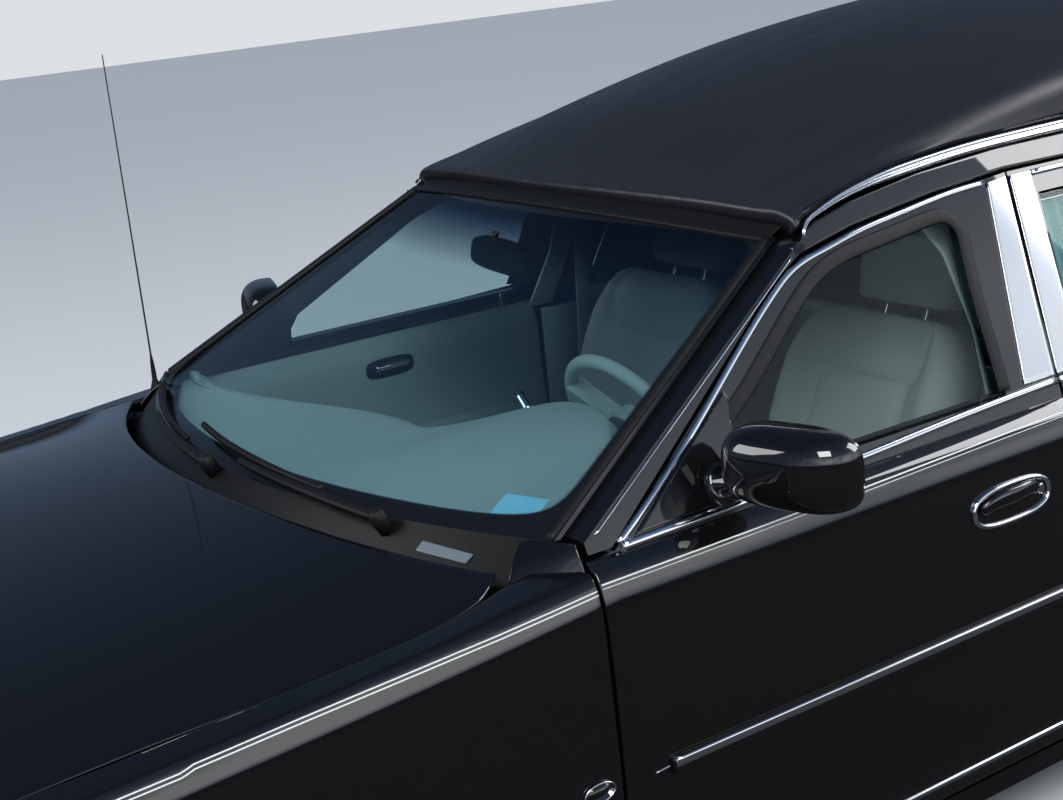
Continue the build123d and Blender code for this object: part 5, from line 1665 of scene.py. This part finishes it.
def pleated(top_row, bottom_row, out):
    """Gathered cloth between two lines: straight, plus a sine of the way along the top.

    The sine's depth grows from 0.65 of itself at the top to the whole at the hem, and
    its phase drifts by a second, slower sine that also grows downwards.
    """
    run_along = lengths(top_row)
    u = np.linspace(0, 1, PLEAT_ROWS)[:, None]
    drift = 0.35 * np.sin(run_along / PLEAT_PITCH * 1.7 + 2.0)[None] * u
    wave = np.sin(2 * np.pi * run_along[None] / PLEAT_PITCH + drift)
    wave = wave * PLEAT_DEEP * (0.65 + 0.35 * u)
    return between(top_row, bottom_row, PLEAT_ROWS) + wave[..., None] * out


def curtain(name, top, bottom, out, node, body):
    """Thin pleated cloth on its rod."""
    grid = pleated(top, bottom, out)
    thin = shell(name, grid, 0.0012, 0.0004, "curtain_cloth", body=body, up=out, steps=1)
    if name.endswith("right"):
        flip_over(thin)
    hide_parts(node)
    rods = tube(f"{name}_rod", even(top, len(top)) + out * 0.002, ring(0.0035, 10),
                BRIGHT, out, body=body)
    if name.endswith("right"):
        flip_over(rods)


PLEAT_POINTS = 280
top = on_skin(np.linspace((0.192, 1.302), (-0.6, 1.302), PLEAT_POINTS), -0.046)
bottom = on_skin(np.linspace((0.25, 0.974), (-0.586, 0.974), PLEAT_POINTS), -0.046)
for side in ("left", "right"):
    curtain(f"rear_curtain_{side}", top, bottom, LEAN_OUT, f"rear_door_curtain_{side}",
            f"rear_door_{side}")


def on_tail(points):
    """Points given as y and z, put on the leaning face of the tail."""
    p = np.asarray(points, float)
    return np.stack([tail_x(p[:, 1]), p[:, 0], p[:, 1]], axis=1)


TAIL_OUT = unit(np.array([-1.0, 0, 0.266]))
top = on_tail(np.linspace((0.462, 1.4), (-0.462, 1.4), PLEAT_POINTS)) + (0.062, 0, 0)
bottom = on_tail(np.linspace((0.476, 0.996), (-0.476, 0.996), PLEAT_POINTS)) + (0.062, 0, 0)
curtain("load_curtain", top, bottom, TAIL_OUT, "load_door_curtain", "load_door")

# %% [markdown]
# ## Tyres
# A tyre is a profile turned about its axle. Four grooves run round the tread and slanted
# cuts divide its ribs. A row of tread blocks could be bent into a ring, but its seams
# would show. Lowering the surface itself, by steep bell curves where rubber is missing,
# makes one closed mesh.


# %% Tyres
TYRE_PROFILE = np.array([
    # across from the middle, radius
    (-0.084, 0.2055), (-0.098, 0.22), (-0.107, 0.245), (-0.112, 0.275), (-0.109, 0.305),
    (-0.1, 0.327), (-0.086, 0.3385), (-0.06, 0.3425), (0.0, 0.3438), (0.06, 0.3425),
    (0.086, 0.3385), (0.1, 0.327), (0.109, 0.305), (0.112, 0.275), (0.107, 0.245),
    (0.098, 0.22), (0.084, 0.2055)])
turn_count, profile_count = 288, 72
tyre_line = flow(TYRE_PROFILE, profile_count, lengths(TYRE_PROFILE))
tyre_turn = np.linspace(0, 2 * np.pi, turn_count, endpoint=False)[:, None]
tyre_across = tyre_line[None, :, 0]
tread = (np.abs(tyre_across) < 0.088).astype(float)
GROOVES = (-0.058, -0.021, 0.021, 0.058)
groove = sum(np.exp(-((tyre_across - at) / 0.0028) ** 4) for at in GROOVES)
cuts = np.exp(-((np.mod(tyre_turn * 48 / (2 * np.pi) + tyre_across * 22, 1) - 0.5) / 0.12) ** 4)
ribs = (np.abs(np.abs(tyre_across) - 0.04) < 0.02) | (np.abs(tyre_across) > 0.06)
worn = np.clip(groove * 0.0065 + cuts * ribs * tread * 0.005, 0, 0.0065) * tread
band = 0.0012 * (np.exp(-((np.abs(tyre_across) - 0.1095) / 0.0012) ** 2)
                 * (tyre_line[None, :, 1] > 0.29))
tyre_radius = tyre_line[None, :, 1] - worn + band
FRONT_TRACK, REAR_TRACK = 0.796, 0.79
faces = cells(turn_count, profile_count, turn_rows=True, turn_columns=True)
for corner, axle_x, side in (
    ("front_left", FRONT_AXLE_X, FRONT_TRACK), ("front_right", FRONT_AXLE_X, -FRONT_TRACK),
    ("rear_left", REAR_AXLE_X, REAR_TRACK), ("rear_right", REAR_AXLE_X, -REAR_TRACK),
):
    spun = np.stack([axle_x + tyre_radius * np.cos(tyre_turn),
                     side + np.broadcast_to(tyre_across, tyre_radius.shape),
                     TYRE_R + tyre_radius * np.sin(tyre_turn)], axis=2)
    turned = faces[:, ::-1] if looks_inward(spun, faces) else faces
    tyre = make(f"{corner}_tread", spun, turned, "tyre_rubber", f"{corner}_wheel")
    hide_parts(f"{corner}_tyre")
print("tyres turned")

# %% [markdown]
# ## Wipers
# A dark panel closes the gap between the glass and the roof's front edge, and two
# wipers lie parked across the glass. Straight bars would cut into its bow. The arms and
# blades are strips carried along lines drawn over the glass instead: a side distance, a
# way up the slope and a height off it.


# %% Wipers
edge_v = np.linspace(-0.99, 0.99, 80)
under_y = edge_v * 0.65
under_x = roof_front_x(under_y) - 0.034
sections = roof_section(under_x)
under_z = np.array([np.interp(abs(y), sections[:, i, 0], sections[:, i, 1])
                    for i, y in enumerate(under_y)]) - 0.024
under_edge = np.stack([under_x, under_y, under_z], axis=1)
header_grid = between(on_screen(edge_v, 0.992, -0.001), under_edge, 10)
shell("header_panel", header_grid, 0.004, 0.002, PLASTIC, up=np.array([0.6, 0, 1.0]))


def over_screen(y, rise, lift):
    """Points over the windscreen: a side distance, a way up its slope and a height off it.

    The base's curve gives x and z for the side distance. The middle line's slope then
    turns the way up and the height off into x and z, as a rotation would.
    """
    y, rise, lift = (np.asarray(v, float) for v in (y, rise, lift))
    base_x, base_y, base_z, mid_x, mid_z = SCREEN_BASE
    share = 1 - (y / base_y) ** 2
    slope = unit(np.array([SCREEN_HEAD[3] - mid_x, SCREEN_HEAD[4] - mid_z]))
    x = base_x + (mid_x - base_x) * share + rise * slope[0] + lift * slope[1]
    z = base_z + (mid_z - base_z) * share + rise * slope[1] - lift * slope[0]
    return np.stack(np.broadcast_arrays(x, y, z), axis=-1)


SCREEN_OUT = unit(np.array([0.45, 0, 0.9]))
for side, (from_y, from_up), (to_y, to_up) in (("near", (0.54, -0.026), (-0.135, 0.044)),
                                                ("far", (0.03, -0.014), (-0.612, 0.018))):
    t = np.linspace(0, 1, 40)
    along = from_y + (to_y - from_y) * t * 0.62
    arm_line = over_screen(along, from_up + (to_up - from_up) * t * 0.62 - 0.004,
                           0.026 + 0.006 * np.sin(np.pi * t))
    thick = (1.0 - 0.45 * t)[:, None, None]
    tube(f"wiper_arm_{side}", arm_line, plate(0.02, 0.009, 0.004)[None] * thick,
         PLASTIC, SCREEN_OUT)
    near_y = from_y + 0.25 * (to_y - from_y)
    near_up = from_up + 0.4 * (to_up - from_up)
    blade_y = near_y + (to_y - near_y) * t
    blade_up = near_up + (to_up - near_up) * t
    spine = over_screen(blade_y, blade_up + 0.01, 0.019 + 0.004 * np.sin(np.pi * t))
    tube(f"wiper_blade_{side}", spine, dome(0.013, 0.006, 0.004), PLASTIC, SCREEN_OUT)
    lip = over_screen(blade_y, blade_up + 0.01, 0.0095)
    tube(f"wiper_rubber_{side}", lip, plate(0.004, 0.008, 0.0055), "tyre_rubber", SCREEN_OUT)
    pivot = over_screen(from_y, from_up, 0.0)
    rises = (-0.012, 0.018, 0.034, 0.038)
    cap = stacked(f"wiper_cap_{side}", [pivot + SCREEN_OUT * d for d in rises],
                  [(0.014, 0.014), (0.016, 0.016), (0.014, 0.014), (0.009, 0.009)], 2.0, LEFT,
                  np.cross(SCREEN_OUT, LEFT), PLASTIC, turn=24)
    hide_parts("wipers")
print("wipers parked")

# %% [markdown]
# ## Mast and carriage bars
# An aerial mast stands on the right front fender. The S-shaped bars on the load deck's
# sides recall the folding hood irons of a carriage, and each is fixed by three bosses.
# The bar is one smooth curve through measured points, thicker in the middle.


# %% Mast and carriage bars
MAST = np.array([1.548, -0.85, 0.0])
mast_z = np.array([0.93, 0.938, 0.95, 0.958, 0.975, 1.0, 1.02, 1.4, 1.73, 1.738])
mast_r = np.array([0.013, 0.0125, 0.0085, 0.006, 0.0058, 0.0045, 0.0022, 0.0017, 0.0013, 0.0009])
mast = stacked("mast", MAST + mast_z[:, None] * UP, np.stack([mast_r, mast_r], 1), 2.0, AHEAD,
               LEFT, PLASTIC, turn=20)
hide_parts("antenna")

BAR = np.array([
    (-0.56, -0.06), (-0.545, -0.098), (-0.51, -0.124), (-0.465, -0.13), (-0.4, -0.112),
    (-0.325, -0.07), (-0.16, -0.034), (0.0, 0.0), (0.16, 0.034), (0.325, 0.07), (0.4, 0.112),
    (0.465, 0.13), (0.51, 0.124), (0.545, 0.098), (0.56, 0.06)])
bar_line = even(flow(BAR, 400, lengths(BAR)), 120)
BAR_X, BAR_Z = -1.77, 1.1825
bar_spots = (BAR_X, BAR_Z) + bar_line * (-1, 0.903)
swelling = (0.75 + 0.45 * np.exp(-(bar_line[:, 0] / 0.2) ** 2))[:, None, None]
for bar in two_sides(tube, "carriage_bar", on_skin(bar_spots, 0.007),
                     ring(0.0115, 20, 0.62)[None] * swelling, BRIGHT, LEAN_OUT):
    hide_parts("landau_bars")
lean_across = np.cross(LEAN_OUT, AHEAD)
for spot, (x, z, size) in {"middle": (BAR_X, BAR_Z, 0.046), "front": (-1.21, 1.1283, 0.02),
                           "rear": (-2.33, 1.2367, 0.02)}.items():
    boss = on_skin([(x, z)])[0]
    rise = np.array([-0.002, 0.006, 0.0115, 0.0145, 0.016])
    spread = np.array([1.0, 1.0, 0.86, 0.55, 0.25]) * size
    two_sides(stacked, f"carriage_boss_{spot}", boss + LEAN_OUT * rise[:, None],
              np.stack([spread, spread], 1), 2.0, AHEAD, lean_across, BRIGHT)
print("mast and bars up")

# %% [markdown]
# ## Bumpers and intake
# Each bumper wears a black rubbing strip under a slim bright one, wrapped round the
# corners. A half plan of measured points is mirrored into a whole, so that both ends of
# a strip match. Below the front one, a dark screen with three slats fills the intake.


# %% Bumpers and intake
def plan_strip(name, points, z, look, width, height):
    """A strip round a bumper: a smooth plan line, at one height, facing outwards.

    Outwards is the line's own direction turned by a right angle, away from the car.
    """
    half = flow(np.asarray(points, float), 90, lengths(np.asarray(points)))
    full = np.concatenate([half, half[-2::-1] * (1, -1)])
    ahead = unit(np.gradient(full, axis=0))
    out = np.stack([ahead[:, 1], -ahead[:, 0], 0 * ahead[:, 0]], axis=1)
    out = out * np.sign((out[:, :2] * full).sum())
    path = np.column_stack([full, np.full(len(full), z)])
    return tube(name, path, dome(width, height), look, out)


FRONT_PLAN = ((2.56, 0.9465), (2.78, 0.929), (2.99, 0.865), (3.086, 0.78), (3.126, 0.66),
              (3.186, 0.35), (3.2, 0.0))
REAR_PLAN = ((-3.005, 0.9265), (-3.09, 0.915), (-3.141, 0.88), (-3.179, 0.77), (-3.195, 0.4),
             (-3.201, 0.0))
for end, plan in (("front", FRONT_PLAN), ("rear", REAR_PLAN)):
    plan_strip(f"{end}_bumper_rubber", plan, 0.47, PLASTIC, 0.05, 0.008)
    plan_strip(f"{end}_bumper_bright", plan, 0.503, BRIGHT, 0.012, 0.007)

intake_y = np.linspace(-0.4195, 0.4195, 60)
intake_x = 3.15 - 0.02 * (intake_y / 0.42) ** 2
level = np.linspace(0.3005, 0.3995, 8)[:, None]
intake = np.stack(np.broadcast_arrays(intake_x, intake_y, level), axis=2)
shell("intake_screen", intake, 0.006, 0.002, PLASTIC, up=AHEAD)
for number, z in enumerate((0.325, 0.35, 0.375), 1):
    path = np.column_stack([intake_x, intake_y, np.full(60, z)])
    tube(f"intake_slat_{number}", path, dome(0.008, 0.012), PLASTIC, AHEAD)
print("bumpers trimmed")

# %% [markdown]
# ## Grille and headlamps
# A bright frame goes round the grille, with rounded corners, and behind each lens sit
# three reflecting bowls. The frame is a closed loop whose corners are short curves. The
# bowls are stacks of circles that open out towards the lens.


# %% Grille and headlamps
def loop(corners, radius):
    """Closed outline of straight sides with rounded corners.

    A corner is a curve between two points a radius away on its sides. It mixes the two
    points by squares of the way along, and the corner by twice their product.
    """
    c = np.asarray(corners, float)
    before, after = unit(np.roll(c, 1, 0) - c), unit(np.roll(c, -1, 0) - c)
    t = np.linspace(0, 1, 8)[None, :, None]
    start, end = c + before * radius, c + after * radius
    turned = (start[:, None] * (1 - t) ** 2 + 2 * c[:, None] * t * (1 - t) + end[:, None] * t ** 2)
    return turned.reshape(-1, c.shape[1])


grille_loop = loop([(3.168, 0.337, 0.7875), (3.168, -0.337, 0.7875), (3.168, -0.337, 0.6015),
                    (3.168, 0.337, 0.6015)], 0.022)
tube("grille_frame", grille_loop, dome(0.016, 0.006), BRIGHT, AHEAD, closed=True)
for number, (x, y) in enumerate(((3.05, 0.435), (3.02, 0.585), (2.985, 0.715))):
    spread = np.array([0.012, 0.03, 0.045, 0.054, 0.058, 0.06, 0.056, 0.04, 0.022, 0.01])
    dish = np.array([0.0, 0.006, 0.018, 0.034, 0.05, 0.05, 0.033, 0.015, 0.004, -0.003])
    bowl = np.stack(np.broadcast_arrays(x - 0.03 + dish, y, 0.682), axis=1)
    two_sides(stacked, f"reflector_{number}", bowl, np.stack([spread, spread], 1), 2.0, LEFT, UP,
              "wheel_alloy", turn=32)
print("grille framed")

# %% [markdown]
# ## Tail
# Bright frames go round the tail lamps, each crossed by three slim ribs, and round the
# load door's window. The door has a grab bar and a round lock. All of these are the
# same loops, strips and stacks as before, only turned to face backwards.


# %% Tail
LAMP_X, LAMP_LOW, LAMP_HIGH, LAMP_IN, LAMP_OUT = -3.15, 0.604, 0.9185, 0.7485, 0.838
lamp_loop = loop([(LAMP_X, LAMP_IN, LAMP_LOW), (LAMP_X, LAMP_IN, LAMP_HIGH),
                  (LAMP_X, LAMP_OUT, LAMP_HIGH), (LAMP_X, LAMP_OUT, LAMP_LOW)], 0.014)
two_sides(tube, "tail_lamp_frame", lamp_loop, dome(0.01, 0.0035), BRIGHT,
          (-1.0, 0, 0), closed=True)
for row, z in enumerate((0.69, 0.77, 0.85)):
    rib = np.linspace((LAMP_X + 0.0005, LAMP_IN + 0.006, z),
                      (LAMP_X + 0.0005, LAMP_OUT - 0.006, z), 6)
    two_sides(tube, f"tail_lamp_rib_{row}", rib, dome(0.004, 0.0025), BRIGHT, (-1.0, 0, 0))

window_loop = loop([(-0.478, 0.993), (-0.427, 1.407), (0.427, 1.407), (0.478, 0.993)], 0.022)
tube("load_window_frame", on_tail(window_loop), dome(0.013, 0.005), BRIGHT, TAIL_OUT,
     body="load_door", closed=True)
grab = on_tail(np.linspace((-0.16, 0.958), (0.16, 0.958), 50))
arch_out = 0.004 + 0.026 * (1 - np.linspace(-1, 1, 50) ** 8)
tube("load_door_grab", grab + TAIL_OUT * arch_out[:, None], ring(0.009, 18, 0.8), BRIGHT,
     TAIL_OUT, body="load_door")
lock_at = np.array([-3.15, 0.0, 0.905])
stacked("load_door_lock", [lock_at - (d, 0, 0) for d in (-0.002, 0.003, 0.005)],
        [(0.013, 0.013), (0.013, 0.013), (0.009, 0.009)], 2.0, LEFT, UP,
        BRIGHT, body="load_door", turn=24)
print("front and tail trimmed")

# %% [markdown]
# ## Stage
# Black paint shows what stands round it more than itself. Three large soft lights give
# the trim its lines, and a pale floor keeps the shadow readable. In the lacquer the
# floor would look white, so the rays that bounce off the car see a darker one.


# %% Stage
def stage_light(name, place, aim, power, width):
    """Square soft light at a place, turned so that it looks at its aim."""
    data = bpy.data.lights.new(name, "AREA")
    data.energy, data.shape, data.size = power, "SQUARE", width
    lamp = bpy.data.objects.new(name, data)
    lamp.location = place
    lamp.rotation_euler = (Vector(aim) - Vector(place)).to_track_quat("-Z", "Y").to_euler()
    bpy.context.scene.collection.objects.link(lamp)


floor_look = Look("floor")
floor_rays = floor_look.node("ShaderNodeLightPath")
floor_color = floor_look.blend(floor_rays.out("Is Glossy Ray"), rgb(0.62, 0.63, 0.65),
                               rgb(0.05, 0.05, 0.052))
floor_look.finish(floor_look.node("ShaderNodeBsdfDiffuse", None, {0: floor_color}).out(0))
bpy.ops.mesh.primitive_plane_add(size=60)
floor = bpy.context.object
floor.name = "floor"
floor.data.materials.append(floor_look.material)
stage_light("key", (4.0, 6.0, 6.5), (0.5, 0, 0.8), 420, 3.5)
stage_light("fill", (8.0, -3.0, 5.0), (1.0, 0, 0.8), 260, 4.0)
stage_light("rear", (-7.0, 3.5, 5.5), (-1.5, 0, 1.0), 320, 4.0)
print("three lights set")

# %% [markdown]
# ## Sky
# The camera sees an even pale sky, but the lacquer and the chrome have to mirror
# something with a shape. A photographed sky would need an image file. A few blends by
# height and side make one instead: a dark ground, a blue overhead that is brighter on
# the sunny side, and a band of cloud that noise breaks up.


# %% Sky
world = bpy.data.worlds.new("sky")
bpy.context.scene.world = world
world.use_nodes = True
sky = Tree(world.node_tree)
rays = sky.node("ShaderNodeLightPath")
way, _, side_way, height = sky.place("Generated")
clouds = sky.node("ShaderNodeTexNoise", None, {"Vector": way, "Scale": 3.2, "Detail": 5.0}).out(0)
shadow_side = sky.blend((height * 1.5).held(), rgb(0.16, 0.23, 0.34), rgb(0.03, 0.055, 0.11))
sun_side = sky.blend((height * 1.4).held(), rgb(0.62, 0.72, 0.86), rgb(0.1, 0.17, 0.32))
overhead = sky.blend((side_way * 1.5 + 0.25).held(), shadow_side, sun_side)
glow = ((clouds - 0.4) * 5.0 + 0.35).held() * ((height + 0.01) * 9.0).held() \
    * ((0.46 - height) * 5.0).held() * (side_way * 1.6 - 0.35).held()
lit = sky.blend(glow, overhead, rgb(2.0, 2.04, 2.08))
mirrored = sky.blend((height * 25.0 + 0.5).held(), rgb(0.02, 0.022, 0.024), lit)
soft = sky.blend(rays.out("Is Glossy Ray"), rgb(0.62, 0.68, 0.76), mirrored)
seen = sky.blend(rays.out("Is Camera Ray"), soft, rgb(0.8, 0.83, 0.87))
light = sky.node("ShaderNodeBackground", None, {0: seen, 1: 0.9}).out(0)
sky.tree.links.new(light.socket, sky.tree.nodes.new("ShaderNodeOutputWorld").inputs[0])
bpy.context.scene.view_settings.view_transform = "Standard"
print("sky blended")

# %% [markdown]
# ## End
# The finished car should fill the same box as its CAD model, give or take the trim's few
# millimetres.
